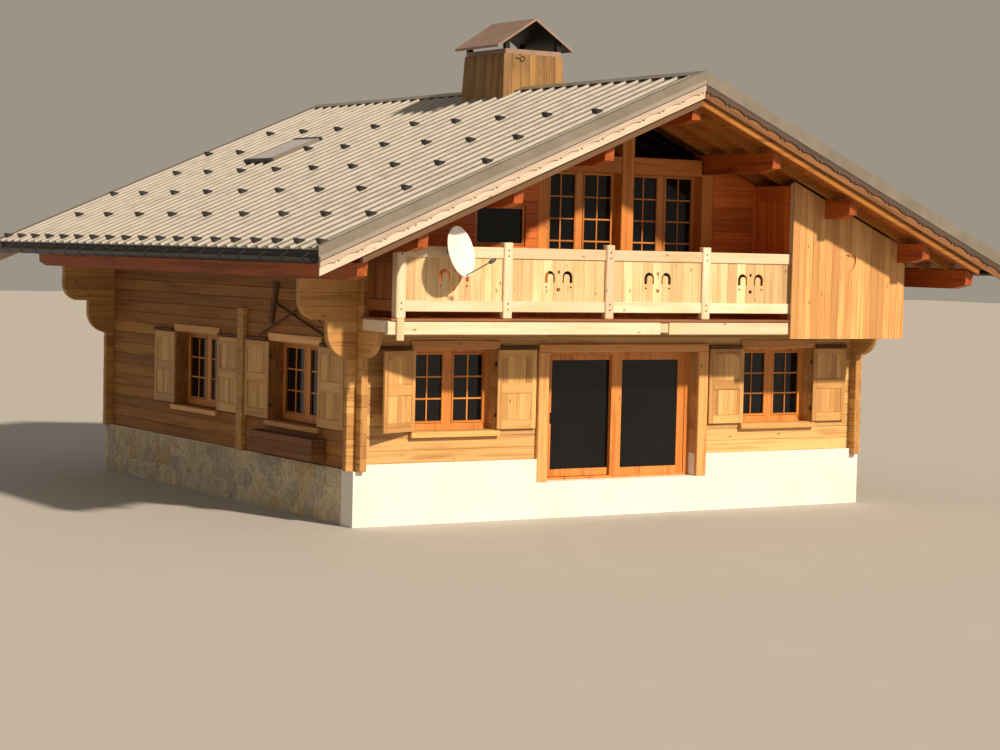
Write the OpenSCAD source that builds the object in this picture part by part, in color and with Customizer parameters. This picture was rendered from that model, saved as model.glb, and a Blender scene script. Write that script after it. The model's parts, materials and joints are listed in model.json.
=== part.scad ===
// Alpine chalet: rendered and stone plinth, log walls that cross at the corners,
// purlin roof with deep verges, and a balcony with a fretwork balustrade.
// Units are millimetres. +Z is up, the garden front faces -Y, and the ridge runs along Y.
// The origin is at the middle of the footprint of the roof, on the lowest ground.

/* [House] */
// Width between the outer faces of the side walls
house_w = 10160; // [9700:10:10600]
// Depth from the front wall's outer face to the back wall's
house_d = 9800; // [9200:10:10600]
// Thickness of the logs, as seen at the crossed corners
log_t = 120; // [100:5:160]
// Thickness of the insulated lining inside the logs
lining_t = 200; // [160:5:240]
// Length that crossed log ends stick out past the other wall
log_end = 165; // [120:5:220]
// Height of the plinth under the front wall
plinth_front_h = 980; // [900:10:1050]
// Height of the plinth under the other walls
plinth_side_h = 880; // [800:10:960]
// Length that the plinth stands out from the wall above
plinth_proud = 60; // [20:5:100]
// Height of the ground floor's surface
ground_floor_z = 600; // [500:10:700]
// Height of the upper floor's surface
upper_floor_z = 3300; // [3200:10:3400]
// Thickness of both floors
floor_t = 200; // [150:10:240]

/* [Roof] */
// Slope of the roof in degrees
slope = 23.1; // [21:0.1:25]
// Distance between purlins, measured level
purlin_gap = 1667; // [1620:1:1700]
// Distance from the ridge to the flying eave purlins, measured level
eave_purlin_x = 6020; // [5900:10:6100]
// Height of the plane that the rafters rest on, at the ridge
rafter_seat_z = 6745; // [6650:5:6850]
// Width of the purlins
purlin_w = 168; // [140:1:200]
// Depth of the purlins
purlin_h = 290; // [240:5:300]
// Overhang of the roof at the front
front_overhang = 2050; // [1800:10:2300]
// Overhang of the roof at the back
back_overhang = 1410; // [1200:10:1700]
// Distance from the ridge to the edge of the roof sheet, measured level
eave_x = 6860; // [6700:10:7000]
// Distance that the purlin ends stay behind the verge
purlin_setback = 230; // [180:5:300]
// Depth of the rafters
rafter_h = 140; // [120:5:160]
// Width of the rafters
rafter_w = 80; // [60:5:100]
// Distance between rafters
rafter_gap = 600; // [550:10:700]
// Thickness of the boarded and insulated deck over the rafters
deck_t = 320; // [280:5:340]
// Thickness of the roof sheet's flat pans
sheet_t = 12; // [8:1:16]
// Height of the sheet's ribs
rib_h = 36; // [25:1:45]
// Distance between ribs
rib_gap = 358; // [340:1:380]
// Distance along the slope between rows of snow guards
guard_row_gap = 1090; // [1050:10:1120]
// Width of a scallop on the bargeboards
scallop_w = 345; // [300:5:400]
// Height of the scalloped bargeboard
barge_h = 260; // [200:5:290]
// Height of the metal verge above the bargeboard
verge_h = 140; // [130:5:200]
// Width of the verge's flat top
verge_w = 115; // [100:5:120]
// Radius of the gutters
gutter_r = 95; // [80:1:105]
// Thickness of the deck's edge beyond the flying purlins
edge_t = 120; // [90:5:140]
// Height of the snow guards' plates
guard_h = 80; // [60:5:100]
// Width of the snow guards
guard_w = 130; // [100:5:150]

/* [Skylight] */
// Distance down the slope from the ridge to the skylight
skylight_x = 2330; // [2200:10:2400]
// Distance along the ridge from the middle of the roof to the skylight
skylight_from_middle = 2250; // [2000:10:2400]
// Length of the skylight down the slope
skylight_l = 1180; // [1000:10:1200]
// Width of the skylight along the ridge
skylight_w = 1100; // [900:10:1150]

/* [Chimney] */
// Distance of the chimney's middle to the right of the ridge
chimney_x = 225; // [0:5:300]
// Distance from the front wall to the chimney's front face
chimney_y = 3300; // [3000:10:4200]
// Width of the chimney at the roof
chimney_w = 1330; // [1200:10:1400]
// Depth of the chimney at the roof
chimney_d = 1450; // [1300:10:1550]
// Height of the chimney's eaves above the ridge line
chimney_h = 620; // [550:10:700]
// Rise of the chimney's own little roof
chimney_rise = 510; // [450:10:560]
// Length that the little roof stands out past the chimney's sides at its top
chimney_eave = 185; // [120:5:220]
// Depth of the open flue in the chimney's top
flue_d = 400; // [300:10:450]

/* [Ground floor openings] */
// Height of the window openings' lower edge
window_z = 1480; // [1400:10:1560]
// Height of the window openings
window_h = 1300; // [1200:10:1380]
// Clearance between an open leaf of the front windows and the patio doorway's posts
casing_clear = 40; // [25:5:100]
// Width of the side window openings
side_window_w = 1780; // [1500:10:1800]
// Clearance between an open front shutter and the corner's log ends
corner_gap = 150; // [60:5:180]
// Distance from the front wall to the near side window's middle
side_window_y = 2090; // [1950:10:2120]
// Width of the inside wall's log ends between the side windows
partition_w = 220; // [180:10:260]
// Width of the patio doorway
patio_w = 3060; // [2800:10:3100]
// Height of the patio doorway's head
patio_head_z = 2730; // [2650:10:2780]
// Depth from the wall's face to the window frames
frame_inset = 235; // [200:5:245]
// Thickness of the window frames
frame_t = 70; // [60:1:80]
// Width of a window's frame and its sash's stile together
frame_w = 120; // [100:5:140]
// Width of a window's frame and its sash's lower rail together
frame_foot = 142; // [120:2:160]
// Width of a window's frame and its sash's upper rail together
frame_head = 96; // [80:2:120]
// Width of the pair of sashes' meeting stiles
meeting_w = 220; // [180:5:240]
// Width of the posts beside the patio doorway
casing_w = 200; // [150:5:210]
// Length that these posts stand out from the wall
casing_proud = 75; // [65:5:90]
// Thickness of the panes
glass_t = 24; // [16:1:30]

/* [Shutters] */
// Thickness of the shutter leaves
shutter_t = 40; // [30:1:45]
// Clearance round the shutter leaves
shutter_gap = 8; // [6:1:12]
// Radius of the pintles that carry the shutters
pintle_r = 7; // [5:0.5:8]
// Clearance between a pintle and its eye
pintle_gap = 0.3; // [0.2:0.1:0.5]
// Angle that the open leaf at the left corner stands off the wall
corner_leaf_angle = 20; // [10:1:30]

/* [Balcony] */
// Depth of the balcony, from the wall to the beam's front face
balcony_d = 1140; // [1000:10:1250]
// Width of the balcony's posts
post_w = 165; // [140:5:180]
// Thickness of the balcony's posts
post_t = 120; // [100:5:140]
// Height of the rim beam
rim_h = 210; // [180:5:230]
// Thickness of the rim beam
rim_t = 110; // [90:5:130]
// Thickness of the balcony's boards
board_t = 38; // [30:1:45]
// Gap under the lower rail
rail_foot = 105; // [80:5:120]
// Height of the rails
rail_h = 172; // [150:1:190]
// Height of the handrail's top above the boards
handrail_h = 1110; // [1000:10:1150]
// Distance from the house's middle to the balcony room's corner
room_x = 2640; // [2600:10:2700]
// Length that the balcony room reaches past the side wall
room_past = 20; // [10:5:60]
// Length of the curved corbels under the balcony's ends
corbel_l = 600; // [500:10:700]
// Distance between the middles of the balcony's posts
post_gap = 1935; // [1900:5:1950]

/* [Upper windows] */
// Depth from the posts' faces to the French windows
french_inset = 215; // [150:5:230]
// Width of the French windows' stiles with their frame
french_side = 80; // [60:5:120]
// Width of the French windows' upper rail with its frame
french_head = 45; // [40:5:80]
// Width of the French windows' lower rail with its frame
french_foot = 160; // [120:10:200]
// Width of the fixed window beside the French windows
upper_window_w = 960; // [850:10:1050]
// Height of the fixed window
upper_window_h = 650; // [550:10:700]
// Height of the fixed window's lower edge above the upper floor
upper_window_sill = 1150; // [1050:10:1200]
// Width of the fixed window's frame
upper_window_frame = 50; // [40:5:70]
// Height of the upper back windows
back_window_h = 1200; // [1100:10:1300]
// Height of the upper back windows' lower edge above the upper floor
back_window_sill = 880; // [800:10:950]

/* [Fits] */
// Gap left where sloping or sawn faces rest on each other
seat_gap = 0.3; // [0.2:0.1:0.5]

/* [Hidden] */

// Small overlap that makes a cut run clean through
cut = 20;
half_w = house_w / 2;
wall_t = log_t + lining_t;
plinth_t = wall_t + plinth_proud;
roof_len = front_overhang + house_d + back_overhang;
verge_y = -roof_len / 2;
front_y = verge_y + front_overhang;
back_y = front_y + house_d;
rise = tan(slope);
// Heights of the roof's layers at the ridge, measured plumb
deck_z = rafter_seat_z + rafter_h / cos(slope);
sheet_z = deck_z + deck_t / cos(slope);
pan_z = sheet_z + sheet_t / cos(slope);
slope_len = eave_x / cos(slope);
rib_top_z = pan_z + rib_h / cos(slope);
flashing_t = 4;
cap_z = rib_top_z + flashing_t / cos(slope);
skylight_y = skylight_from_middle;
wall_purlin_x = 3 * purlin_gap;
purlin_xs = [0, purlin_gap, 2 * purlin_gap, wall_purlin_x, eave_purlin_x];
purlin_front_y = verge_y + purlin_setback;
purlin_back_y = -purlin_front_y;
// The purlins' lower edges follow the slope, 70 mm higher at the sawn ends
end_lift = 70;
side_wall_z = rafter_seat_z - wall_purlin_x * rise - purlin_h;
patio_x = patio_w / 2;
sill_z = ground_floor_z + 40;
balcony_y = front_y - balcony_d;
deck_top = upper_floor_z + 10;
beam_top = deck_top - board_t;
beam_z = beam_top - rim_h;
handrail_top = deck_top + handrail_h;
// Middle of the balcony's corner post and of the rails behind it
wall_x = half_w - 100;
// The front windows and their open leaves fill the wall between the corner and the patio posts
window_w = (half_w - log_t - corner_gap - patio_x - casing_w - casing_clear) / 2
    + 2.5 * shutter_gap;
window_x = half_w - log_t - corner_gap - window_w + 2.5 * shutter_gap;
// The inside wall's log ends stand clear between the open leaves of the side windows
partition_out = 100;
leaf_clear = 25;
open_leaf_end = side_window_w - 1.5 * shutter_gap;
partition_y = side_window_y + open_leaf_end + leaf_clear;
far_window_y = partition_y + partition_w + leaf_clear + open_leaf_end;
// Frame of the other upper windows, measured in from the wall's face
upper_inset = 30;
room_edge = half_w + room_past;
window_centres = [-window_x, window_x];

function seat_z(x) = rafter_seat_z - abs(x) * rise;

module both_sides() {
    children();
    mirror([1, 0, 0]) children();
}

// Local frames with x along the wall seen from outside, y into the wall
module at_front() { translate([0, front_y, 0]) children(); }
module at_left() { translate([-half_w, front_y, 0]) rotate(-90) children(); }
module at_right() { translate([half_w, front_y, 0]) rotate(90) children(); }
module at_back() { translate([0, back_y, 0]) rotate(180) children(); }

// A block from its lowest and highest corners
module block(low, high) {
    translate(low) cube(high - low);
}

// A YZ outline drawn as [y, z] and extruded along X from x0 to x1
module side_profile(x0, x1) {
    translate([x0, 0, 0]) rotate([90, 0, 90]) linear_extrude(x1 - x0) children();
}

// An XZ outline drawn as [x, z] and extruded along Y from y0 to y1
module front_profile(y0, y1) {
    translate([0, y1, 0]) rotate([90, 0, 0]) linear_extrude(y1 - y0) children();
}

// A frame laid on the right slope: x runs down the slope from the ridge, z out of the roof
module on_slope(z0) {
    translate([0, 0, z0]) rotate([0, slope, 0]) children();
}

module window_hole(x, z, w, h) {
    block([x - w / 2, -cut, z], [x + w / 2, wall_t + cut, z + h]);
}

// Plinth and floors

module plinth_front() {
    color("ivory") at_front() difference() {
        block([-half_w - plinth_proud, -plinth_proud, 0],
              [half_w + plinth_proud, plinth_t - plinth_proud, plinth_front_h]);
        block([-patio_x, -plinth_proud - cut, ground_floor_z],
              [patio_x, plinth_t, plinth_front_h + cut]);
        block([-patio_x - casing_w, -plinth_proud - cut, ground_floor_z],
              [patio_x + casing_w, 0, plinth_front_h + cut]);
        both_sides() block([half_w - log_t, -plinth_proud - cut, plinth_side_h],
              [half_w + plinth_proud + cut, plinth_t, plinth_front_h + cut]);
    }
}

module plinth_stone() {
    color("darkkhaki") difference() {
        block([-half_w - plinth_proud, front_y + plinth_t - plinth_proud, 0],
              [half_w + plinth_proud, back_y + plinth_proud, plinth_side_h]);
        block([-half_w - plinth_proud + plinth_t, front_y, -cut],
              [half_w + plinth_proud - plinth_t, back_y + plinth_proud - plinth_t,
               plinth_side_h + cut]);
    }
}

module ground_floor() {
    color("burlywood") union() {
        block([-half_w - plinth_proud + plinth_t, front_y + plinth_t - plinth_proud,
               ground_floor_z - floor_t],
              [half_w + plinth_proud - plinth_t, back_y + plinth_proud - plinth_t, ground_floor_z]);
    }
}

module upper_floor() {
    color("burlywood")
        block([-half_w + wall_t, front_y + wall_t, upper_floor_z - floor_t],
              [half_w - wall_t, back_y - wall_t, upper_floor_z]);
}

// Walls

module wall_front_left() {
    color("peru") at_front() difference() {
        block([-half_w + log_t, 0, plinth_front_h], [-patio_x, wall_t, upper_floor_z]);
        window_hole(-window_x, window_z, window_w, window_h);
    }
}

module wall_front_right() {
    color("peru") at_front() difference() {
        block([patio_x, 0, plinth_front_h], [half_w - log_t, wall_t, upper_floor_z]);
        window_hole(window_x, window_z, window_w, window_h);
    }
}

module wall_front_head() {
    color("peru") at_front() block([-patio_x, 0, patio_head_z], [patio_x, wall_t, upper_floor_z]);
}

// A side wall in the frame of at_right: x runs from the front wall to the back
module side_wall() {
    difference() {
        union() {
            block([log_t, 0, plinth_side_h], [house_d - log_t, log_t, side_wall_z]);
            block([wall_t, log_t, plinth_side_h], [house_d - wall_t, wall_t, side_wall_z]);
        }
        window_hole(side_window_y, window_z, side_window_w, window_h);
        window_hole(far_window_y, window_z, side_window_w, window_h);
    }
}

module wall_right() {
    color("peru") at_right() side_wall();
}

module wall_left() {
    color("peru") mirror([1, 0, 0]) at_right() side_wall();
}

back_window_xs = [-purlin_gap / 2, purlin_gap / 2];
back_window_w = purlin_gap - 400;

// The part of a gable wall above upper_floor_z, up to the rafters
module gable_outline() {
    edge = half_w - log_t;
    polygon([[-edge, upper_floor_z], [edge, upper_floor_z], [edge, seat_z(edge)],
             [0, rafter_seat_z], [-edge, seat_z(edge)]]);
}

// Pockets round the purlins where they pass through a gable wall
module purlin_pockets() {
    for (x = purlin_xs) both_sides()
        translate([x - purlin_w / 2, seat_z(x) - purlin_h]) square([purlin_w, 2 * purlin_h]);
}

module wall_back() {
    color("peru") at_back() {
        difference() {
            union() {
                block([-half_w + log_t, 0, plinth_side_h], [half_w - log_t, wall_t, upper_floor_z]);
                front_profile(0, log_t) difference() {
                    gable_outline();
                    purlin_pockets();
                }
            }
            for (x = window_centres) window_hole(x, window_z, window_w, window_h);
            for (x = back_window_xs) window_hole(x, upper_floor_z + back_window_sill, back_window_w, back_window_h);
        }
    }
}

// The lower step of the ear under the flying eave purlin
ear_l = 530;
ear_z = 2640;
ear_h = 610;

// A corbel of stacked log ends that steps out to reach, drawn as [out, z]
module corbel_outline(reach, z_low, z_top, round_r) {
    translate([0, z_low]) difference() {
        square([reach, z_top - z_low]);
        translate([reach, 0]) difference() {
            square(2 * round_r, center = true);
            translate([-round_r, round_r]) circle(round_r, $fn = 48);
        }
    }
}

module log_corners() {
    color("sandybrown") both_sides() {
        // Ends of an inside wall's logs
        at_right() block([partition_y, -partition_out, plinth_side_h],
                         [partition_y + partition_w, 0, upper_floor_z]);
        // Crossed ends of both walls at the front and back corners
        for (side = [0, 1]) translate([0, side * (front_y + back_y), 0]) mirror([0, side, 0])
        translate([half_w - log_t, front_y, 0]) {
            block([0, 0, plinth_side_h], [log_t, log_t, side_wall_z]);
            block([0, -log_end, plinth_side_h], [log_t, 0, side_wall_z]);
            block([log_t, 0, plinth_side_h], [log_t + log_end, log_t, side_wall_z]);
            // The ear under the flying eave purlin, two steps of rounded log ends
            front_profile(0, log_t) translate([log_t, 0]) {
                corbel_outline(ear_l, ear_z, ear_z + ear_h, 400);
                corbel_outline(eave_purlin_x - half_w + purlin_w / 2, ear_z + ear_h,
                               seat_z(eave_purlin_x) - purlin_h - seat_gap, 300);
            }
        }
        // The curved corbel under the balcony's end
        translate([half_w - log_t, front_y, 0]) side_profile(0, log_t) mirror([1, 0])
            corbel_outline(corbel_l, joist_z - 420, joist_z, 400);
    }
}

// Upper front: timber frame with a tie beam, boards beside it

post_size = 250;
// The posts and the tie beam reach in past the French windows between them
post_depth = french_inset + frame_t + 15;
tie_z = 5700;
tie_h = 280;
french_h = tie_z - upper_floor_z;
french_w = purlin_gap - post_size;
// Lower left corner of the fixed window beside the French windows
upper_window_x = -2980;
upper_window_z = upper_floor_z + upper_window_sill;

module gable_frame() {
    color("chocolate") at_front() {
        // The posts stand under the three middle purlins
        for (x = [-purlin_gap, 0, purlin_gap])
            block([x - post_size / 2, 0, upper_floor_z],
                  [x + post_size / 2, post_depth, seat_z(x) - purlin_h]);
        block([-purlin_gap + post_size / 2, 0, tie_z], [-post_size / 2, post_depth, tie_z + tie_h]);
        block([post_size / 2, 0, tie_z], [purlin_gap - post_size / 2, post_depth, tie_z + tie_h]);
    }
}

module gable_boards() {
    color("sienna") at_front() front_profile(0, log_t) difference() {
        gable_outline();
        purlin_pockets();
        // Bay of the two French windows and the glazing over the tie beam
        translate([-purlin_gap - post_size / 2, 0]) square([2 * purlin_gap + post_size, rafter_seat_z]);
        translate([upper_window_x, upper_window_z]) square([upper_window_w, upper_window_h]);
    }
}

// Windows

// Calls its child for both panes of a two-sash window, with the pane's width as $pane.
// m holds the widths of the stiles, the lower rail, the upper rail and the meeting stiles.
module each_pane(w, m) {
    $pane = (w - m[3]) / 2 - m[0];
    for (x = [m[0], w / 2 + m[3] / 2]) translate([x, 0, m[1]]) children();
}

low_widths = [frame_w, frame_foot, frame_head, meeting_w];
french_widths = [french_side, french_foot, french_head, meeting_w - 20];

// A window with two sashes, from its lower left corner, in a wall's local frame
module sash_window(w, h, m = low_widths) {
    difference() {
        cube([w, frame_t, h]);
        each_pane(w, m) translate([0, -cut, 0]) cube([$pane, frame_t + 2 * cut, h - m[1] - m[2]]);
    }
}

module sash_glass(w, h, m = low_widths) {
    each_pane(w, m) translate([0, (frame_t - glass_t) / 2, 0])
        cube([$pane, glass_t, h - m[1] - m[2]]);
}

// Places its child at every window of the ground floor, with the window's width as $w
module each_low_window() {
    for (x = window_centres) {
        at_front() translate([x - window_w / 2, 0, window_z]) { $w = window_w; children(); }
        at_back() translate([x - window_w / 2, 0, window_z]) { $w = window_w; children(); }
    }
    for (y = [side_window_y, far_window_y]) both_sides()
        at_right() translate([y - side_window_w / 2, 0, window_z]) { $w = side_window_w; children(); }
}

module windows_low() {
    color("goldenrod") each_low_window() translate([0, frame_inset, 0]) sash_window($w, window_h);
}

module glass_low() {
    color("lightblue") {
        each_low_window() translate([0, frame_inset, 0]) sash_glass($w, window_h);
        at_front() patio_glass(1);
    }
}

// Places its child at both French windows
module each_french_window() {
    at_front() for (x = [-purlin_gap + post_size / 2, post_size / 2])
        translate([x, french_inset, upper_floor_z]) children();
}

// Places its child at both upper back windows
module each_back_window() {
    at_back() for (x = back_window_xs)
        translate([x - back_window_w / 2, upper_inset, upper_floor_z + back_window_sill]) children();
}

// The fixed window beside the bay, its frame cut by the given width all round
module upper_window(edge, y0, y1) {
    block([upper_window_x + edge, y0, upper_window_z + edge],
          [upper_window_x + upper_window_w - edge, y1, upper_window_z + upper_window_h - edge]);
}

module windows_up() {
    color("goldenrod") {
        each_french_window() sash_window(french_w, french_h, french_widths);
        each_back_window() sash_window(back_window_w, back_window_h);
        at_front() difference() {
            upper_window(0, upper_inset, upper_inset + frame_t);
            upper_window(upper_window_frame, 0, log_t + cut);
        }
    }
}

module glass_up() {
    pane_out = (frame_t - glass_t) / 2;
    color("lightblue") {
        each_french_window() sash_glass(french_w, french_h, french_widths);
        each_back_window() sash_glass(back_window_w, back_window_h);
        at_front() {
            upper_window(upper_window_frame, upper_inset + pane_out, upper_inset + pane_out + glass_t);
            // Gable glazing between the tie beam and the rafters
            both_sides() front_profile(french_inset + pane_out, french_inset + pane_out + glass_t) {
                x0 = post_size / 2;
                x1 = purlin_gap - post_size / 2;
                polygon([[x0, tie_z + tie_h], [x1, tie_z + tie_h], [x1, seat_z(x1)], [x0, seat_z(x0)]]);
            }
        }
    }
}

trim_t = 30;
trim_h = 130;
trim_past = 60;
hood_t = 45;
hood_out = 75;
sill_out = 90;
sill_drop = 100;

// The dark drip board over an open leaf, beside the lintel board
module hood(w) {
    leaf = w / 2 - 1.5 * shutter_gap;
    for (x = [-leaf, w + trim_past])
        block([x, -hood_out, window_h + 12], [x + leaf - trim_past, 0, window_h + 12 + hood_t]);
}

module window_trims() {
    color("wheat") {
        each_low_window() {
            // Lintel board, drip boards and sill
            block([-trim_past, -trim_t, window_h + 12], [$w + trim_past, 0, window_h + 12 + trim_h]);
            hood($w);
            block([-trim_past, -sill_out, -sill_drop], [$w + trim_past, 0, -12]);
        }
        at_front() {
            // Lintel board and posts of the patio doorway
            edge = patio_x + casing_w;
            block([-edge, -casing_proud, patio_head_z], [edge, 0, patio_head_z + trim_h]);
            for (x = [-edge, patio_x])
                block([x, -casing_proud, ground_floor_z], [x + casing_w, 0, patio_head_z]);
        }
    }
}

// Patio door: the right leaf is fixed and outside, the left one slides behind it

patio_frame_w = 110;
patio_frame_head = 60;
leaf_t = 55;
leaf_gap = 8;
stile_w = 150;
rail_w = 80;
// Width of the leaves' meeting stiles, which stand behind each other
middle_w = 210;
leaf_w = patio_x - patio_frame_w + middle_w / 2;
track_y = 180;
fixed_y = track_y + 10;
slide_y = fixed_y + leaf_t + leaf_gap;
leaf_z0 = sill_z + leaf_gap;
leaf_z1 = patio_head_z - patio_frame_head - leaf_gap;
patio_foot = 120;

// The pane's width within a leaf
pane_w = patio_x - patio_frame_w - middle_w / 2 - stile_w;

module patio_glass(side) {
    y0 = (side > 0 ? fixed_y : slide_y) + (leaf_t - glass_t) / 2;
    x0 = side > 0 ? middle_w / 2 : -middle_w / 2 - pane_w;
    block([x0, y0, leaf_z0 + patio_foot], [x0 + pane_w, y0 + glass_t, leaf_z1 - rail_w]);
}

module patio_frame() {
    color("goldenrod") at_front() {
        difference() {
            block([-patio_x, track_y - 10, ground_floor_z], [patio_x, wall_t - 10, patio_head_z]);
            block([-patio_x + patio_frame_w, track_y - 10 - cut, sill_z],
                  [patio_x - patio_frame_w, wall_t, patio_head_z - patio_frame_head]);
        }
        // The fixed leaf fills its side of the frame from the sill to the head
        difference() {
            block([-middle_w / 2, fixed_y, sill_z],
                  [leaf_w - middle_w / 2, fixed_y + leaf_t, patio_head_z - patio_frame_head]);
            block([middle_w / 2, fixed_y - cut, leaf_z0 + patio_foot],
                  [middle_w / 2 + pane_w, fixed_y + leaf_t + cut, leaf_z1 - rail_w]);
        }
    }
}

module patio_leaf() {
    x0 = -leaf_w + middle_w / 2 + leaf_gap;
    color("goldenrod") at_front() {
        difference() {
            block([x0, slide_y, leaf_z0], [middle_w / 2, slide_y + leaf_t, leaf_z1]);
            block([-middle_w / 2 - pane_w, slide_y - cut, leaf_z0 + patio_foot],
                  [-middle_w / 2, slide_y + leaf_t + cut, leaf_z1 - rail_w]);
        }
        // Two shoes run on the sill
        for (x = [x0 + 150, -150])
            block([x, slide_y + 15, sill_z + pintle_gap], [x + 100, slide_y + leaf_t - 15, leaf_z0]);
    }
}

module patio_leaf_glass() {
    color("lightblue") at_front() patio_glass(-1);
}

// Shutters

eye_h = 50;
eye_t = 6;
// The eyes turn just clear of the wall's face
eye_clear = 1.2;
hinge_out = pintle_r + pintle_gap + eye_t + eye_clear;
eye_zs = [215, window_h - 265];
// Frame of a leaf round its two sunk panels, and the rail between them
leaf_stile = 95;
leaf_foot = 155;
leaf_middle = [0.45, 0.58] * window_h;
panel_arch = 60;
panel_sink = 10;

// The outlines of a leaf's panels: a plain one below and one with an arched top
module leaf_panels(w) {
    pane_w = w - 2 * leaf_stile;
    translate([leaf_stile, leaf_foot]) square([pane_w, leaf_middle[0] - leaf_foot]);
    top = window_h - leaf_stile;
    // A flat arc that rises by panel_arch over the panel's width
    arc_r = (pane_w * pane_w / 4 + panel_arch * panel_arch) / (2 * panel_arch);
    intersection() {
        translate([leaf_stile, leaf_middle[1]]) square([pane_w, top - leaf_middle[1] + 1]);
        translate([leaf_stile + pane_w / 2, top - arc_r]) circle(arc_r, $fn = 96);
    }
}

// A shutter leaf in its closed pose, hinged at its left edge on the axis x = 0, y = 0
module shutter_leaf(w) {
    edge = pintle_r + pintle_gap + eye_t;
    y0 = 5;
    difference() {
        union() {
            block([edge, y0, shutter_gap], [w, y0 + shutter_t, window_h - shutter_gap]);
            for (z = eye_zs) translate([0, 0, z]) {
                cylinder(h = eye_h, r = edge, $fn = 32);
                block([0, y0, 0], [edge + 1, edge, eye_h]);
            }
        }
        for (z = eye_zs) translate([0, 0, z - cut])
            cylinder(h = eye_h + 2 * cut, r = pintle_r + pintle_gap, $fn = 32);
        // Sunk panels on both faces
        front_profile(y0 - cut, y0 + panel_sink) leaf_panels(w);
        front_profile(y0 + shutter_t - panel_sink, y0 + shutter_t + cut) leaf_panels(w);
    }
}

// Turns a leaf about its axis, which stands hinge_out off the wall's face at the jamb
module hung_leaf(x, z, w, side, turn) {
    translate([x + side * shutter_gap, -hinge_out, z]) mirror([side < 0 ? 1 : 0, 0, 0])
        rotate(-turn) shutter_leaf(w);
}

module shutter_pair(w, z, left_turn, right_turn, which) {
    leaf = w / 2 - 1.5 * shutter_gap;
    if (which != 1) hung_leaf(-w / 2, z, leaf, 1, left_turn);
    if (which != 0) hung_leaf(w / 2, z, leaf, -1, right_turn);
}

module pintle_set(w) {
    for (side = [-1, 1], z = eye_zs) translate([side * (w / 2 - shutter_gap), -hinge_out, window_z + z]) {
        translate([0, 0, -10]) cylinder(h = eye_h + 15, r = pintle_r, $fn = 32);
        block([side > 0 ? -pintle_r : -shutter_gap, -pintle_r, -10],
              [side > 0 ? shutter_gap : pintle_r, hinge_out + 25, -pintle_gap]);
    }
}

module pintles() {
    color("black") {
        for (x = window_centres) at_front() translate([x, 0, 0]) pintle_set(window_w);
        at_left() translate([-side_window_y, 0, 0]) pintle_set(side_window_w);
    }
}

module front_shutter(x, which, turn) {
    color("peru") at_front() translate([x, 0, 0])
        shutter_pair(window_w, window_z, turn, turn, which);
}

module side_shutter(which) {
    color("peru") at_left() translate([-side_window_y, 0, 0])
        shutter_pair(side_window_w, window_z, 180, 180, which);
}

module shutter_1() { front_shutter(-window_x, 0, 180 - corner_leaf_angle); }
module shutter_2() { front_shutter(-window_x, 1, 180); }
module shutter_3() { front_shutter(window_x, 0, 180); }
module shutter_4() { front_shutter(window_x, 1, 180); }
module shutter_5() { side_shutter(0); }
module shutter_6() { side_shutter(1); }

module flat_leaves(w) {
    leaf = w / 2 - 1.5 * shutter_gap;
    for (x = [-w / 2 - leaf, w / 2]) difference() {
        block([x, -shutter_t, window_z + shutter_gap],
              [x + leaf, 0, window_z + window_h - shutter_gap]);
        translate([x, 0, window_z]) front_profile(-shutter_t - cut, -shutter_t + panel_sink)
            leaf_panels(leaf);
    }
}

module shutters_hidden_sides() {
    color("peru") {
        at_left() translate([-far_window_y, 0, 0]) flat_leaves(side_window_w);
        at_right() for (y = [side_window_y, far_window_y]) translate([y, 0, 0]) flat_leaves(side_window_w);
        at_back() for (x = window_centres) translate([x, 0, 0]) flat_leaves(window_w);
    }
}

// Balcony

// The joists carry the boards, the middle one shows its end between two rim beams
joist_w = 160;
joist_z = beam_z + 30;
beam_past = 100;
room_beam_past = 40;

module balcony_beams() {
    color("wheat") {
        for (x = [[-half_w - beam_past, -joist_w / 2 - 5], [joist_w / 2 + 5, room_edge + room_beam_past]])
            block([x[0], balcony_y, beam_z], [x[1], balcony_y + rim_t, beam_top]);
        block([-joist_w / 2, balcony_y + 20, joist_z], [joist_w / 2, front_y, beam_top]);
        both_sides() {
            block([1.5 * post_gap - joist_w / 2, balcony_y + rim_t, joist_z],
                  [1.5 * post_gap + joist_w / 2, front_y, beam_top]);
            // The end joists lie on the curved corbels and meet the log ends
            block([half_w - joist_w, balcony_y + rim_t, joist_z],
                  [half_w, front_y - log_end, beam_top]);
        }
    }
}

nosing = 25;
tail_t = 40;
tail_w = 130;

module balcony_boards() {
    color("tan") difference() {
        block([-half_w - 60, balcony_y - nosing, beam_top], [room_edge, front_y, deck_top]);
        block([-wall_x - tail_w / 2, balcony_y - nosing - cut, beam_top - cut],
              [-wall_x + tail_w / 2, balcony_y, deck_top + cut]);
        // Notched round the log ends of the side walls
        both_sides() block([half_w - log_t, front_y - log_end, beam_top - cut],
                           [half_w, front_y + cut, deck_top + cut]);
    }
}

post_xs = [for (i = [1 : 3]) -wall_x + i * post_gap];

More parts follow.
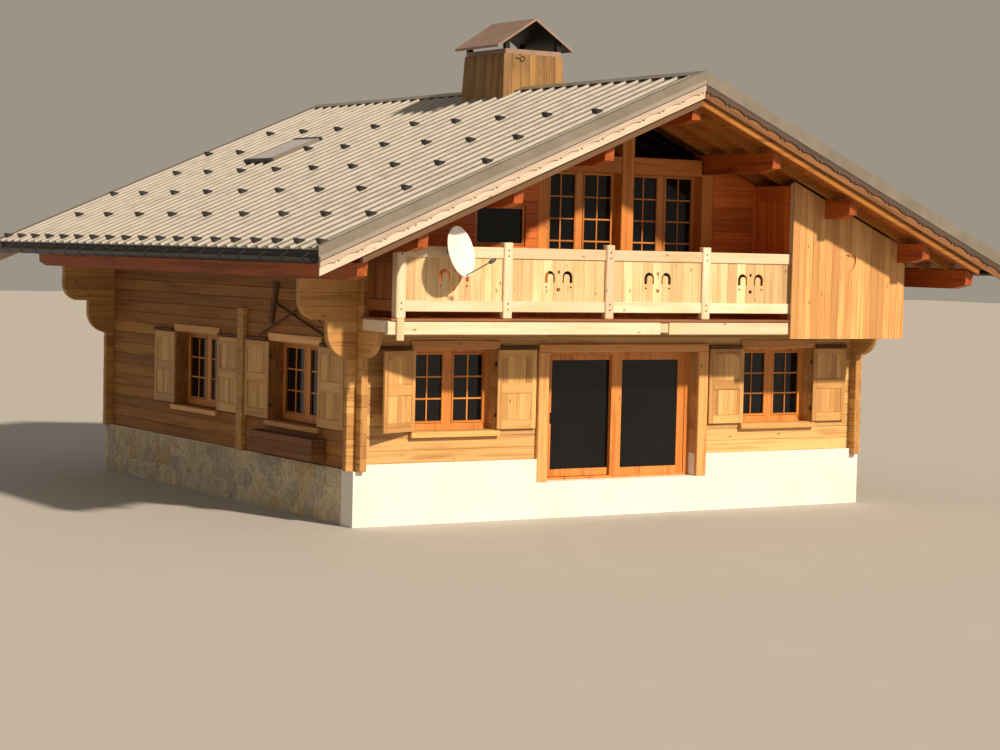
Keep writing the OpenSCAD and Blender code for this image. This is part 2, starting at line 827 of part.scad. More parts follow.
module balcony_posts() {
    color("wheat") {
        for (x = post_xs)
            block([x - post_w / 2, balcony_y, deck_top],
                  [x + post_w / 2, balcony_y + post_t, handrail_top + 80]);
        // The corner post carries the wall purlin and laps over the beam with a tail below it
        block([-wall_x - post_w / 2, balcony_y, deck_top],
              [-wall_x + post_w / 2, balcony_y + post_t, side_wall_z]);
        block([-wall_x - post_w / 2, balcony_y - tail_t, deck_top],
              [-wall_x + post_w / 2, balcony_y, side_wall_z]);
        block([-wall_x - tail_w / 2, balcony_y - tail_t, beam_z - 90],
              [-wall_x + tail_w / 2, balcony_y, deck_top]);
        // The post at the corner of the balcony room reaches up to the rafters
        front_profile(balcony_y, balcony_y + post_t) polygon([
            [room_x, deck_top], [room_x + post_w, deck_top],
            [room_x + post_w, seat_z(room_x + post_w)], [room_x, seat_z(room_x)]]);
    }
}

bay_edges = [for (i = [0 : 3]) [-wall_x + i * post_gap + post_w / 2,
             i < 3 ? -wall_x + (i + 1) * post_gap - post_w / 2 : room_x]];

module balcony_rails() {
    color("wheat") for (e = bay_edges) {
        for (z = [deck_top + rail_foot, handrail_top - rail_h])
            block([e[0], balcony_y + 20, z], [e[1], balcony_y + 100, z + rail_h]);
    }
    // The rails of the open left end, the upper one against the wall purlin
    color("wheat") for (z = [deck_top + rail_foot, side_wall_z - rail_h])
        block([-wall_x - 40, balcony_y + post_t, z], [-wall_x + 40, front_y - log_end, z + rail_h]);
}

panel_z0 = deck_top + rail_foot + rail_h;
panel_z1 = handrail_top - rail_h;

// Half of the fretwork: a horseshoe hook, thick on its outer side, with a dot below it
hook_x = 170;
hook_r = 95;
hook_leg = 95;

module scroll() {
    difference() {
        union() {
            circle(hook_r, $fn = 48);
            translate([25, -hook_leg]) square([hook_r - 25, hook_leg]);
            translate([-hook_r, -hook_leg + 30]) square([30, hook_leg - 30]);
        }
        translate([-15, -10]) circle(55, $fn = 48);
        translate([-70, -hook_leg - 10]) square([110, hook_leg]);
    }
    translate([hook_r - 30, -162]) circle(18, $fn = 24);
}

// A small heart that stands on its point, w wide and h high
module small_heart(w, h) {
    lobe = 0.27 * w;
    side_r = (w * w / 4 + (h - lobe) * (h - lobe)) / w;
    translate([0, h - lobe]) {
        for (x = [lobe - w / 2, w / 2 - lobe]) translate([x, 0]) circle(lobe, $fn = 24);
        intersection_for (side = [-1, 1]) intersection() {
            translate([side * (side_r - w / 2), 0]) circle(side_r, $fn = 96);
            translate([-w / 2, -h]) square([w, h + 1]);
        }
    }
}

module fretwork() {
    for (side = [0, 1]) mirror([side, 0]) translate([hook_x, 59]) scroll();
    translate([-22, 110]) square([44, 50]);
    translate([0, -178]) small_heart(70, 64);
}

module balcony_panels() {
    mid = (panel_z0 + panel_z1) / 2;
    color("wheat") for (e = bay_edges) front_profile(balcony_y + 45, balcony_y + 75) difference() {
        translate([e[0], panel_z0]) square([e[1] - e[0], panel_z1 - panel_z0 - seat_gap]);
        translate([(e[0] + e[1]) / 2, mid]) fretwork();
    }
    color("wheat") block([-wall_x - 15, balcony_y + post_t, panel_z0],
                         [-wall_x + 15, front_y - log_end, side_wall_z - rail_h - seat_gap]);
}

room_wall_t = 100;

module room_outline(x0, x1) {
    difference() {
        polygon([[x0, beam_z - 70], [x1, beam_z - 70], [x1, seat_z(x1)], [x0, seat_z(x0)]]);
        purlin_pockets();
    }
}

// The heart cut through the room's front boards
heart_x = 3855;
heart_z = 4148;
// Length that the front boards lap past the room's corner post
room_lap = 60;
room_front_t = 30;

module balcony_room() {
    color("wheat") {
        // Front boards, hung over the edge of the floor
        front_profile(balcony_y - nosing - room_front_t, balcony_y - nosing) difference() {
            room_outline(room_x - room_lap, room_edge);
            translate([heart_x, heart_z]) small_heart(260, 290);
        }
        // The right end of the room, up to the rafters beside the wall purlin
        block([half_w - room_wall_t, balcony_y + rim_t, deck_top],
              [half_w, front_y - log_end, side_wall_z - seat_gap]);
    }
}

// The return wall with its door, which is sunk into the balcony's side
door_top = deck_top + 2120;
door_y = [285, 1085];
door_sink = 35;

module balcony_room_door() {
    color("sienna") difference() {
        side_profile(room_x, room_x + room_wall_t)
            translate([balcony_y + post_t, deck_top])
                square([balcony_d - post_t, seat_z(room_x + room_wall_t) - deck_top - seat_gap]);
        block([room_x - cut, balcony_y + door_y[0], deck_top + 40],
              [room_x + door_sink, balcony_y + door_y[1], door_top]);
    }
}

// Roof

// Everything under the plane that the rafters rest on
module under_rafters() {
    front_profile(verge_y, -verge_y) polygon([[-eave_x, 0], [eave_x, 0],
        [eave_x, seat_z(eave_x)], [0, rafter_seat_z], [-eave_x, seat_z(eave_x)]]);
}

// A purlin with raked ends, cut back below, and its top planed to the slope
module purlin(x) {
    z1 = seat_z(x);
    z0 = z1 - purlin_h;
    intersection() {
        side_profile(x - purlin_w / 2, x + purlin_w / 2) polygon([
            [purlin_front_y, z0 + end_lift], [purlin_front_y + 330, z0],
            [purlin_back_y - 330, z0], [purlin_back_y, z0 + end_lift],
            [purlin_back_y + 40, z1 + 80], [purlin_front_y - 40, z1 + 80]]);
        under_rafters();
    }
}

module purlins() {
    color("darkorange") {
        purlin(0);
        both_sides() for (i = [1 : 4]) purlin(purlin_xs[i]);
    }
}

// Half the saw joint where the two slopes meet
ridge_joint = 1;
// The deck's plumb-cut edge, behind the edge of the sheet
fascia_x = eave_x - 80;
rafter_count = floor((roof_len - 2 * 100) / rafter_gap);

module rafters() {
    x1 = eave_purlin_x + purlin_w / 2;
    step = (roof_len - 120 - rafter_w) / rafter_count;
    color("orange") both_sides() for (i = [0 : rafter_count]) {
        y = verge_y + 60 + i * step;
        front_profile(y, y + rafter_w) polygon([
            [ridge_joint, seat_z(ridge_joint) + seat_gap], [x1, seat_z(x1) + seat_gap],
            [x1, deck_z - x1 * rise - seat_gap], [ridge_joint, deck_z - ridge_joint * rise - seat_gap]]);
    }
}

// The full deck stops over the flying purlins, and a thinner edge runs on to the sheet's edge
module roof_deck() {
    x1 = eave_purlin_x + purlin_w / 2;
    edge_z = sheet_z - edge_t / cos(slope);
    color("burlywood") both_sides() front_profile(verge_y + 30, -verge_y - 30) polygon([
        [ridge_joint, deck_z - ridge_joint * rise], [x1, deck_z - x1 * rise], [x1, edge_z - x1 * rise],
        [fascia_x, edge_z - fascia_x * rise], [fascia_x, sheet_z - fascia_x * rise - seat_gap],
        [ridge_joint, sheet_z - ridge_joint * rise - seat_gap]]);
}

rib_count = floor((roof_len - 200) / rib_gap);
rib_start = verge_y + (roof_len - rib_count * rib_gap) / 2;

// The sheet's section across the ribs, from verge to verge
module sheet_section() {
    square([roof_len, sheet_t]);
    for (i = [0 : rib_count]) translate([rib_start - verge_y + i * rib_gap, 0])
        polygon([[-45, 0], [45, 0], [45, sheet_t], [22, sheet_t + rib_h], [-22, sheet_t + rib_h],
                 [-45, sheet_t]]);
}

module roof_sheet() {
    color("darkgray") on_slope(sheet_z) translate([sheet_t, verge_y, 0]) rotate([90, 0, 90])
        linear_extrude(slope_len - sheet_t) sheet_section();
}

module roof_sheet_right() { roof_sheet(); }

module roof_sheet_left() {
    mirror([1, 0, 0]) difference() {
        roof_sheet();
        on_slope(sheet_z) translate([skylight_x - 40, skylight_y - 40, sheet_t])
            cube([skylight_l + 80, skylight_w + 80, 200]);
    }
}

// A band that follows both slopes, from z0 to z1 at the ridge and out to x
module chevron(x, z0, z1) {
    polygon([[-x, z0 - x * rise], [0, z0], [x, z0 - x * rise],
             [x, z1 - x * rise], [0, z1], [-x, z1 - x * rise]]);
}

module roof_flashings() {
    color("gray") {
        // Ridge cap, folded over the ends of the ribs
        front_profile(verge_y, -verge_y) chevron(175, rib_top_z + seat_gap, cap_z);
        // Verges at the front and back
        for (side = [0, 1]) mirror([0, side, 0]) {
            front_profile(verge_y, verge_y + verge_w) chevron(eave_x, rib_top_z + seat_gap, cap_z);
            front_profile(verge_y - flashing_t, verge_y)
                chevron(eave_x, rib_top_z - verge_h / cos(slope), cap_z);
        }
    }
}

scallop_count = floor(slope_len / scallop_w);
scallop_h = 170;
scallop_t = 24;
barge_t = 28;
// Round notches between the arches, with a point of wood on both sides of each
notch_r = 24;
point_w = 18;
arch_rise = 32;

// The lower edge of a bargeboard: flat arches with a round notch between them
module scallop_outline() {
    step = slope_len / scallop_count;
    half_arch = step / 2 - notch_r - point_w;
    arch_r = (half_arch * half_arch + arch_rise * arch_rise) / (2 * arch_rise);
    difference() {
        square([slope_len + step, scallop_h]);
        for (i = [0 : scallop_count + 1]) translate([i * step, 0]) circle(notch_r, $fn = 24);
        for (i = [0 : scallop_count]) translate([(i + 0.5) * step, arch_rise - arch_r])
            circle(arch_r, $fn = 96);
    }
}

// A plain board behind the flashing's flange, with the scalloped board laid on its face. Both
// are cut plumb at the eave.
module bargeboards() {
    top = rib_h + sheet_t + 2;
    color("rosybrown") both_sides() for (side = [0, 1]) mirror([0, side, 0]) intersection() {
        on_slope(rib_top_z) {
            translate([0, verge_y, -verge_h - barge_h])
                cube([slope_len + barge_h, barge_t, verge_h + barge_h - top]);
            translate([0, verge_y, -verge_h - scallop_h - seat_gap]) rotate([90, 0, 0])
                linear_extrude(scallop_t) scallop_outline();
        }
        block([ridge_joint, verge_y - 100, 0], [eave_x - 20, 0, cap_z]);
    }
}

gutter_x = eave_x + 50;
gutter_z = pan_z - eave_x * rise - 117;
gutter_t = 5;
hook_count = 19;
hook_w = 30;

// A half-round gutter under the sheet's edge, with a flashing behind it. The straps run from
// the deck's edge down to the outer lip, and each holds the gutter by a band.
module gutters() {
    edge_z = sheet_z - fascia_x * rise - seat_gap;
    color("dimgray") both_sides() {
        translate([gutter_x, verge_y + barge_t + 7, gutter_z]) rotate([-90, 0, 0])
            linear_extrude(roof_len - 2 * (barge_t + 7)) half_ring(gutter_r, gutter_r - gutter_t);
        block([fascia_x, verge_y + 40, gutter_z - 60],
              [fascia_x + gutter_t, -verge_y - 40, edge_z - gutter_t * rise]);
        for (i = [0 : hook_count - 1]) {
            y = verge_y + 200 + i * (roof_len - 430) / (hook_count - 1);
            translate([gutter_x, y, gutter_z]) rotate([-90, 0, 0])
                linear_extrude(hook_w) half_ring(gutter_r + gutter_t, gutter_r - 1);
            block([fascia_x, y, gutter_z - 10], [gutter_x - gutter_r + 3, y + hook_w, gutter_z]);
            front_profile(y, y + hook_w) polygon([
                [fascia_x, edge_z - 14], [fascia_x, edge_z - 6], [gutter_x + gutter_r, gutter_z + 8],
                [gutter_x + gutter_r, gutter_z - 8], [gutter_x + gutter_r - gutter_t, gutter_z - 8],
                [gutter_x + gutter_r - gutter_t, gutter_z + 1]]);
        }
    }
}

module half_ring(outer, inner) {
    difference() {
        circle(outer, $fn = 32);
        circle(inner, $fn = 32);
        translate([-outer - 1, -outer - 1]) square([2 * outer + 2, outer + 1]);
    }
}

guard_tail = 140;

module snow_guards() {
    // Each guard is a bent tab on a rib; the eave row is twice as close
    color("dimgray") for (left = [0, 1]) mirror([left, 0, 0]) on_slope(sheet_z) {
        for (row = [1 : 5], i = [0 : 9]) {
            rib = 1 + 4 * i + 2 * ((row + 1) % 2);
            x = slope_len - 130 - row * guard_row_gap;
            y = rib_start + rib * rib_gap;
            over_skylight = left == 1 && x > skylight_x - 60 && x < skylight_x + skylight_l + 200
                && y > skylight_y - 120 && y < skylight_y + skylight_w + 120;
            if (rib < rib_count && !over_skylight) translate([x, y, sheet_t + rib_h]) guard();
        }
        for (i = [0 : 2 : rib_count]) translate([slope_len - 130, rib_start + i * rib_gap,
            sheet_t + rib_h]) guard();
    }
}

module guard() {
    translate([0, guard_w / 2, 0]) rotate([90, 0, 0]) linear_extrude(guard_w)
        polygon([[-guard_tail, 0], [0, 0], [0, guard_h], [-8, guard_h]]);
}

module skylight() {
    color("slategray") mirror([1, 0, 0]) on_slope(sheet_z) {
        translate([skylight_x, skylight_y, sheet_t + seat_gap]) difference() {
            cube([skylight_l, skylight_w, 90]);
            translate([70, 70, 70]) cube([skylight_l - 140, skylight_w - 140, 40]);
        }
    }
}

chimney_top_w = chimney_w - 120;
chimney_top_d = chimney_d - 140;
chimney_top_z = pan_z + chimney_h;
chimney_mid_y = front_y + chimney_y + chimney_d / 2;
chimney_rim = 140;

module chimney() {
    color("tan") difference() {
        translate([chimney_x, chimney_mid_y, 0]) difference() {
            hull() {
                translate([0, 0, tie_z + tie_h]) cube([chimney_w + 60, chimney_d + 60, 1], center = true);
                translate([0, 0, chimney_top_z - 0.5])
                    cube([chimney_top_w, chimney_top_d, 1], center = true);
            }
            translate([0, 0, chimney_top_z])
                cube([chimney_top_w - 2 * chimney_rim, chimney_top_d - 2 * chimney_rim, 2 * flue_d], center = true);
        }
        // The foot is cut to sit astride the ridge cap
        front_profile(verge_y, -verge_y) polygon([[-eave_x, 0], [eave_x, 0],
            [eave_x, cap_z + seat_gap - eave_x * rise], [0, cap_z + seat_gap],
            [-eave_x, cap_z + seat_gap - eave_x * rise]]);
    }
}

cap_beam_h = 85;
cap_t = 45;

// Frame of beams on the chimney's rim, short posts, and an open folded roof on them
module chimney_cap() {
    w = chimney_top_w / 2 + chimney_eave;
    d = chimney_top_d / 2 + 85;
    beam_x = chimney_top_w / 2 - 15;
    beam_y = chimney_top_d / 2 + 15;
    top_z = chimney_top_z + cap_beam_h;
    peak_z = chimney_top_z + 95 + chimney_rise;
    k = chimney_rise / w;
    color("dimgray") translate([chimney_x, chimney_mid_y, 0]) {
        difference() {
            block([-beam_x, -beam_y, chimney_top_z], [beam_x, beam_y, top_z]);
            block([-beam_x + 90, -beam_y + 90, chimney_top_z - cut],
                  [beam_x - 90, beam_y - 90, top_z + cut]);
        }
        for (x = [0, 1], y = [-beam_y, beam_y - 90]) mirror([x, 0, 0])
            front_profile(y, y + 90) polygon([[beam_x - 90, top_z], [beam_x, top_z],
                [beam_x, peak_z - beam_x * k], [beam_x - 90, peak_z - (beam_x - 90) * k]]);
        front_profile(-d, d) polygon([[-w, peak_z - w * k], [0, peak_z], [w, peak_z - w * k],
            [w, peak_z - w * k + cap_t], [0, peak_z + cap_t], [-w, peak_z - w * k + cap_t]]);
    }
}

// The aerial dish looks up to the right of the garden, on an arm from the handrail
dish_x = -4140;
dish_z = 4330;
dish_r = 390;
dish_out = 250;
dish_up = 13.4;
dish_turn = 30;
feed_l = 420;

module dish() {
    color("white") translate([dish_x, balcony_y - dish_out, dish_z]) rotate([90 - dish_up, 0, dish_turn]) {
        rotate_extrude($fn = 64) polygon([[0, 0], [dish_r / 2, 18], [dish_r, 72], [dish_r, 82],
            [dish_r / 2, 28], [0, 10]]);
        // Feed arm from the lower rim, with the receiver at its end
        translate([0, -dish_r + 8, 60]) rotate([-38, 0, 0]) {
            cylinder(h = feed_l, r = 10, $fn = 24);
            translate([0, 0, feed_l - 30]) cylinder(h = 110, r = 32, $fn = 24);
        }
    }
    color("gray") translate([dish_x, balcony_y - dish_out, dish_z]) rotate([-90, 0, 0])
        cylinder(h = dish_out + 20, r = 20, $fn = 24);
}

box_w = side_window_w + 480;
box_z = 950;
box_h = 350;
box_d = 270;
box_t = 30;

module flower_box() {
    color("saddlebrown") at_left() translate([-side_window_y, 0, box_z]) difference() {
        block([-box_w / 2, -box_d, 0], [box_w / 2, 0, box_h]);
        block([-box_w / 2 + box_t, -box_d + box_t, box_t], [box_w / 2 - box_t, -box_t, box_h + cut]);
    }
}

// A round stick in the plane of the wall, from p to q, drawn as [x, z]
module stick(p, q, y, r) {
    d = q - p;
    translate([p[0], y, p[1]]) rotate([0, atan2(d[0], d[1]), 0]) cylinder(h = norm(d), r = r, $fn = 16);
}

// A hay rake and a scythe, crossed on two pegs over the left window. Their points are
// measured from the façade along the wall and from the ground.
rake_head = [[-2900, 3070], [-2720, 3760]];
rake_neck = [-2810, 3420];
rake_end = [-1020, 2940];
snath = [[-3310, 2870], [-1760, 3410]];
tooth_count = 17;
tooth_l = 150;
blade = [[-1780, 3425], [-1560, 3415], [-1380, 3365], [-1220, 3270], [-1080, 3120], [-1240, 3220],
         [-1400, 3295], [-1570, 3345], [-1770, 3375]];
blade_t = 8;
pegs = [[-2092, 3240], [-2810, 3420]];
peg_r = 9;
near_y = -30;
far_y = -58;

module hay_tools() {
    color("saddlebrown") at_left() {
        stick(rake_head[0], rake_head[1], near_y, 20);
        stick(rake_neck, rake_end, near_y, 14);
        for (i = [0 : tooth_count - 1]) {
            p = rake_head[0] + (rake_head[1] - rake_head[0]) * (i + 0.5) / tooth_count;
            stick(p, p + [-tooth_l, tooth_l * 0.25], near_y, 7);
        }
        stick(snath[0], snath[1], far_y, 15);
        // The blade, bent down from the end of the snath
        front_profile(far_y - blade_t / 2, far_y + blade_t / 2) polygon(blade);
        // Pegs through the crossing and behind the rake's head
        for (p = pegs) translate([p[0], far_y, p[1]]) rotate([-90, 0, 0])
            cylinder(h = -far_y, r = peg_r, $fn = 16);
    }
}

plinth_front();
plinth_stone();
ground_floor();
upper_floor();
wall_front_left();
wall_front_right();
wall_front_head();
wall_left();
wall_right();
wall_back();
log_corners();
gable_frame();
gable_boards();
windows_low();
glass_low();
windows_up();
glass_up();
window_trims();
patio_frame();
patio_leaf();
patio_leaf_glass();
pintles();
shutter_1();
shutter_2();
shutter_3();
shutter_4();
shutter_5();
shutter_6();
shutters_hidden_sides();
balcony_beams();
balcony_boards();
balcony_posts();
balcony_rails();
balcony_panels();
balcony_room();
balcony_room_door();
purlins();
rafters();
roof_deck();
roof_sheet_left();
roof_sheet_right();
roof_flashings();
bargeboards();
gutters();
snow_guards();
skylight();
chimney();
chimney_cap();
dish();
flower_box();
hay_tools();
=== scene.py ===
"""Looks of the alpine chalet: log walls, boarded balcony, ribbed metal roof.

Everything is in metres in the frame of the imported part: +Z up, the garden front faces -Y,
the ridge runs along Y, and the lowest ground is z = 0.
"""
import json
import math
import random

import bmesh
import bpy
from mathutils import Matrix, Vector

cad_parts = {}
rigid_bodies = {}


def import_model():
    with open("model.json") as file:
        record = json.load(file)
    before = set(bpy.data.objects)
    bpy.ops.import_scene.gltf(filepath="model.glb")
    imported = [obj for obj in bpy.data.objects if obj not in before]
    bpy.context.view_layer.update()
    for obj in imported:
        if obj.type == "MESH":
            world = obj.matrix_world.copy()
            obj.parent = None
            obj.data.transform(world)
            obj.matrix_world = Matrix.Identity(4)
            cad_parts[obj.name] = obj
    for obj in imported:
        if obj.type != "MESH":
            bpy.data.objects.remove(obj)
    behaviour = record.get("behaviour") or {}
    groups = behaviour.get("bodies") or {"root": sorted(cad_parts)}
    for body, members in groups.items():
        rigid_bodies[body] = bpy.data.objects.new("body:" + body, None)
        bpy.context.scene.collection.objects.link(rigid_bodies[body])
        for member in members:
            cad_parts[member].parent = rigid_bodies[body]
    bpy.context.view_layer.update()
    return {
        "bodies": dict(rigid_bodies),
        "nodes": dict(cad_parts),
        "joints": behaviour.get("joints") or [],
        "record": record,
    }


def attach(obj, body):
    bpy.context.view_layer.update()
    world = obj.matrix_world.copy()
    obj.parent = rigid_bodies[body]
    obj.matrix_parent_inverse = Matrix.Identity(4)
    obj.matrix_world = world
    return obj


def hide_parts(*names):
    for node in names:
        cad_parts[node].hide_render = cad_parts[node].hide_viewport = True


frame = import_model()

# Sizes of the house, as the part's source has them

# Walls, plinth and floors
HALF_W = 5.08
LOG_T = 0.12
WALL_T = 0.32
LOG_END = 0.165
FRONT_Y = -4.58
BACK_Y = 5.22
HOUSE_D = BACK_Y - FRONT_Y
VERGE_Y = -6.63
PLINTH_FRONT_H = 0.98
PLINTH_SIDE_H = 0.88
PLINTH_PROUD = 0.06
UPPER_FLOOR_Z = 3.30
FRENCH_Z = 5.70
GABLE_POST = 0.25
COURSE_H = 0.20
PARTITION_Y = 3.883
PARTITION_W = 0.22

# Roof: the rafters' seat falls by RISE for each metre from the ridge
SLOPE = math.radians(23.1)
RISE = math.tan(SLOPE)
RAFTER_SEAT_Z = 6.745
RAFTER_H = 0.14
DECK_T = 0.32
DECK_Z = RAFTER_SEAT_Z + RAFTER_H / math.cos(SLOPE)
SHEET_Z = DECK_Z + DECK_T / math.cos(SLOPE)
PURLIN_GAP = 1.667
PURLIN_H = 0.29
PURLIN_W = 0.168
EAVE_PURLIN_X = 6.02
SIDE_WALL_Z = RAFTER_SEAT_Z - 3 * PURLIN_GAP * RISE - PURLIN_H
EAVE_X = 6.86
RIB_GAP = 0.358
RIB_COUNT = int((-2 * VERGE_Y - 0.2) / RIB_GAP)
RIB_START = VERGE_Y + (-2 * VERGE_Y - RIB_COUNT * RIB_GAP) / 2
SHEET_T = 0.012
RIB_H = 0.036
PAN_TOP_Z = SHEET_Z + SHEET_T / math.cos(SLOPE)
RIB_TOP_Z = SHEET_Z + (SHEET_T + RIB_H) / math.cos(SLOPE)

# Windows, shutters and the patio doorway; the gable window is (x0, x1, z0, z1)
WINDOW_Z = 1.48
WINDOW_H = 1.30
WINDOW_W = 1.54
WINDOW_X = 3.29
SIDE_WINDOW_W = 1.78
NEAR_WINDOW_Y = 2.09
FAR_WINDOW_Y = 5.896
UPPER_WINDOW_W = PURLIN_GAP - 0.4
UPPER_WINDOW_Z = UPPER_FLOOR_Z + 0.88
UPPER_WINDOW_H = 1.20
GABLE_WINDOW = (-2.98, -2.02, 4.45, 5.10)
SHUTTER_GAP = 0.008
PATIO_X = 1.53
PATIO_HEAD_Z = 2.73
CASING_W = 0.20
CASING_PROUD = 0.075

# Balcony and the boarded room at its right end
BALCONY_Y = FRONT_Y - 1.14
BALCONY_END_Y = FRONT_Y - LOG_END
DECK_TOP = 3.31
BOARD_T = 0.038
BEAM_Z = 3.062
BEAM_TOP = DECK_TOP - BOARD_T
BEAM_T = 0.11
JOIST_Z = BEAM_Z + 0.03
JOIST_W = 0.16
HANDRAIL_TOP = 4.42
RAIL_H = 0.172
RAIL_T = 0.08
RAIL_FOOT = 0.105
RAIL_BACK = 0.02
PANEL_T = 0.03
PANEL_BOARD = 0.20
POST_GAP = 1.935
POST_W = 0.165
POST_T = 0.12
CORNER_PROUD = 0.04
CORNER_HALF_W = 0.065
WALL_X = HALF_W - 0.10
ROOM_X = 2.64
ROOM_LAP = 0.06
ROOM_EDGE = HALF_W + 0.02
BAY_EDGES = [(-WALL_X + i * POST_GAP + POST_W / 2,
              -WALL_X + (i + 1) * POST_GAP - POST_W / 2 if i < 3 else ROOM_X) for i in range(4)]

# Chimney, with half its widths at foot and top in x and y, and its little roof
CHIMNEY_X = 0.225
CHIMNEY_Y = -0.555
CHIMNEY_FOOT_Z = FRENCH_Z + 0.28
CHIMNEY_TOP_Z = 7.878
CHIMNEY_FOOT = (0.695, 0.755)
CHIMNEY_TOP = (0.605, 0.655)
CAP_BEAM_TOP = CHIMNEY_TOP_Z + 0.086
CAP_RISE = 0.51 / (CHIMNEY_TOP[0] + 0.185)
CAP_PEAK_Z = CHIMNEY_TOP_Z + 0.608


def wall_frame(x, y, degrees):
    """A wall's own frame: x along it seen from outside, y into it, z up."""
    return Matrix.Translation((x, y, 0)) @ Matrix.Rotation(math.radians(degrees), 4, "Z")


FRONT = wall_frame(0, FRONT_Y, 0)
BACK = wall_frame(0, BACK_Y, 180)
LEFT = wall_frame(-HALF_W, FRONT_Y, -90)
RIGHT = wall_frame(HALF_W, FRONT_Y, 90)
WORLD = Matrix.Identity(4)
MIRROR_X = Matrix.Scale(-1, 4, (1, 0, 0))
MIRROR_Y = Matrix.Scale(-1, 4, (0, 1, 0))


def seat_z(x):
    """Height of the plane under the rafters."""
    return RAFTER_SEAT_Z - abs(x) * RISE


# Materials

def linear(code):
    """An sRGB hex colour as linear RGBA."""
    parts = [int(code[i:i + 2], 16) / 255 for i in (1, 3, 5)]
    return [p / 12.92 if p <= 0.04045 else ((p + 0.055) / 1.055) ** 2.4 for p in parts] + [1.0]


def add(tree, kind, inputs=None, stops=None, **settings):
    """Adds one node with its settings. inputs maps a socket's name or number to a value or to
    another node's socket, and stops are the positions and hex colours of a colour ramp."""
    node = tree.nodes.new(kind)
    for key, value in settings.items():
        setattr(node, key, value)
    for key, value in (inputs or {}).items():
        if isinstance(value, bpy.types.NodeSocket):
            tree.links.new(value, node.inputs[key])
        else:
            node.inputs[key].default_value = value
    for i, (position, code) in enumerate(stops or []):
        elements = node.color_ramp.elements
        element = elements[i] if i < 2 else elements.new(position)
        element.position = position
        element.color = linear(code)
    return node


def new_material(name, **shader_values):
    """A material with its shader; shader_values are set on the shader's own sockets."""
    material = bpy.data.materials.new(name)
    material.use_nodes = True
    tree = material.node_tree
    tree.nodes.clear()
    values = {key.replace("_", " "): value for key, value in shader_values.items()}
    shader = add(tree, "ShaderNodeBsdfPrincipled", values)
    add(tree, "ShaderNodeOutputMaterial", {"Surface": shader.outputs[0]})
    return material, tree, shader


def finish_shader(tree, shader, colour, height, strength, relief_m):
    """Joins a colour to the shader, and a relief of that many metres drawn by height."""
    tree.links.new(colour, shader.inputs["Base Color"])
    bump = add(tree, "ShaderNodeBump", {"Strength": strength, "Distance": relief_m,
               "Height": height})
    tree.links.new(bump.outputs[0], shader.inputs["Normal"])


def place(tree, grain, scale):
    """Coordinates stretched along the grain, which runs along u of the board's own map or along
    the axis x, y or z. The scale is that along the grain and that across it, per metre."""
    if grain == "uv":
        where = add(tree, "ShaderNodeUVMap", uv_map="grain").outputs[0]
        scales = (scale[0], scale[1], 1)
    else:
        where = add(tree, "ShaderNodeTexCoord").outputs["Object"]
        scales = [scale[0] if axis == grain else scale[1] for axis in "xyz"]
    return add(tree, "ShaderNodeMapping", {"Vector": where, "Scale": scales}).outputs[0]


def softwood(name, pale, dark, grain="uv", rough=0.55, stain=None):
    """Spruce or larch: long fibres 20 mm apart, drawn coarser than real ones so that they show,
    bands 90 mm apart, sparse knots, and boards of different tone. A stain is the tan, grey or
    black that weather leaves in patches."""
    material, tree, shader = new_material(name, Roughness=rough)
    fibres = add(tree, "ShaderNodeTexNoise", {"Vector": place(tree, grain, (1.1, 48)), "Scale": 1.0,
                 "Detail": 5.0, "Roughness": 0.62, "Distortion": 0.35}).outputs[0]
    bands = add(tree, "ShaderNodeTexNoise", {"Vector": place(tree, grain, (0.5, 11)), "Scale": 1.0,
                "Detail": 2.0, "Distortion": 0.8}).outputs[0]
    both = add(tree, "ShaderNodeMath", {0: fibres, 1: 0.6, 2: bands}, operation="MULTIPLY_ADD")
    figure = add(tree, "ShaderNodeMapRange", {"Value": both.outputs[0], "From Min": 0.55,
                 "From Max": 1.05}).outputs[0]
    colour = add(tree, "ShaderNodeValToRGB", {"Fac": figure},
                 [(0.0, dark), (0.55, pale)]).outputs[0]
    # Knots about 30 mm wide and twice as long, one every half metre or so
    cells = add(tree, "ShaderNodeTexVoronoi", {"Vector": place(tree, grain, (2.4, 5.0)),
                "Scale": 1.0, "Randomness": 1.0}, feature="F1").outputs["Distance"]
    spots = add(tree, "ShaderNodeMapRange", {"Value": cells, "From Min": 0.05, "From Max": 0.11,
                "To Min": 0.7, "To Max": 0.0}).outputs[0]
    colour = add(tree, "ShaderNodeMix", {0: spots, 6: colour, 7: linear("#6b3a1c")},
                 data_type="RGBA").outputs[2]
    if grain == "uv":
        tone = add(tree, "ShaderNodeAttribute", attribute_name="tone").outputs["Fac"]
    else:
        tone = add(tree, "ShaderNodeTexNoise", {"Vector": place(tree, grain, (0.15, 2.5)),
                   "Scale": 1.0, "Detail": 1.0}).outputs[0]
    shade = add(tree, "ShaderNodeValToRGB", {"Fac": tone},
                [(0.0, "#bfae9f"), (0.5, "#e6dcd2"), (1.0, "#ffffff")]).outputs[0]
    colour = add(tree, "ShaderNodeMix", {0: 0.8, 6: colour, 7: shade}, data_type="RGBA",
                 blend_type="MULTIPLY").outputs[2]
    if stain:
        weather = add(tree, "ShaderNodeTexNoise", {"Vector": place(tree, grain, (0.9, 3.0)),
                      "Scale": 1.0, "Detail": 3.0}).outputs[0]
        amount = add(tree, "ShaderNodeMapRange", {"Value": weather, "From Min": 0.42,
                     "From Max": 0.7, "To Max": 0.75}).outputs[0]
        colour = add(tree, "ShaderNodeMix", {0: amount, 6: colour, 7: linear(stain)},
                     data_type="RGBA").outputs[2]
    finish_shader(tree, shader, colour, fibres, 0.35, 0.003)
    return material


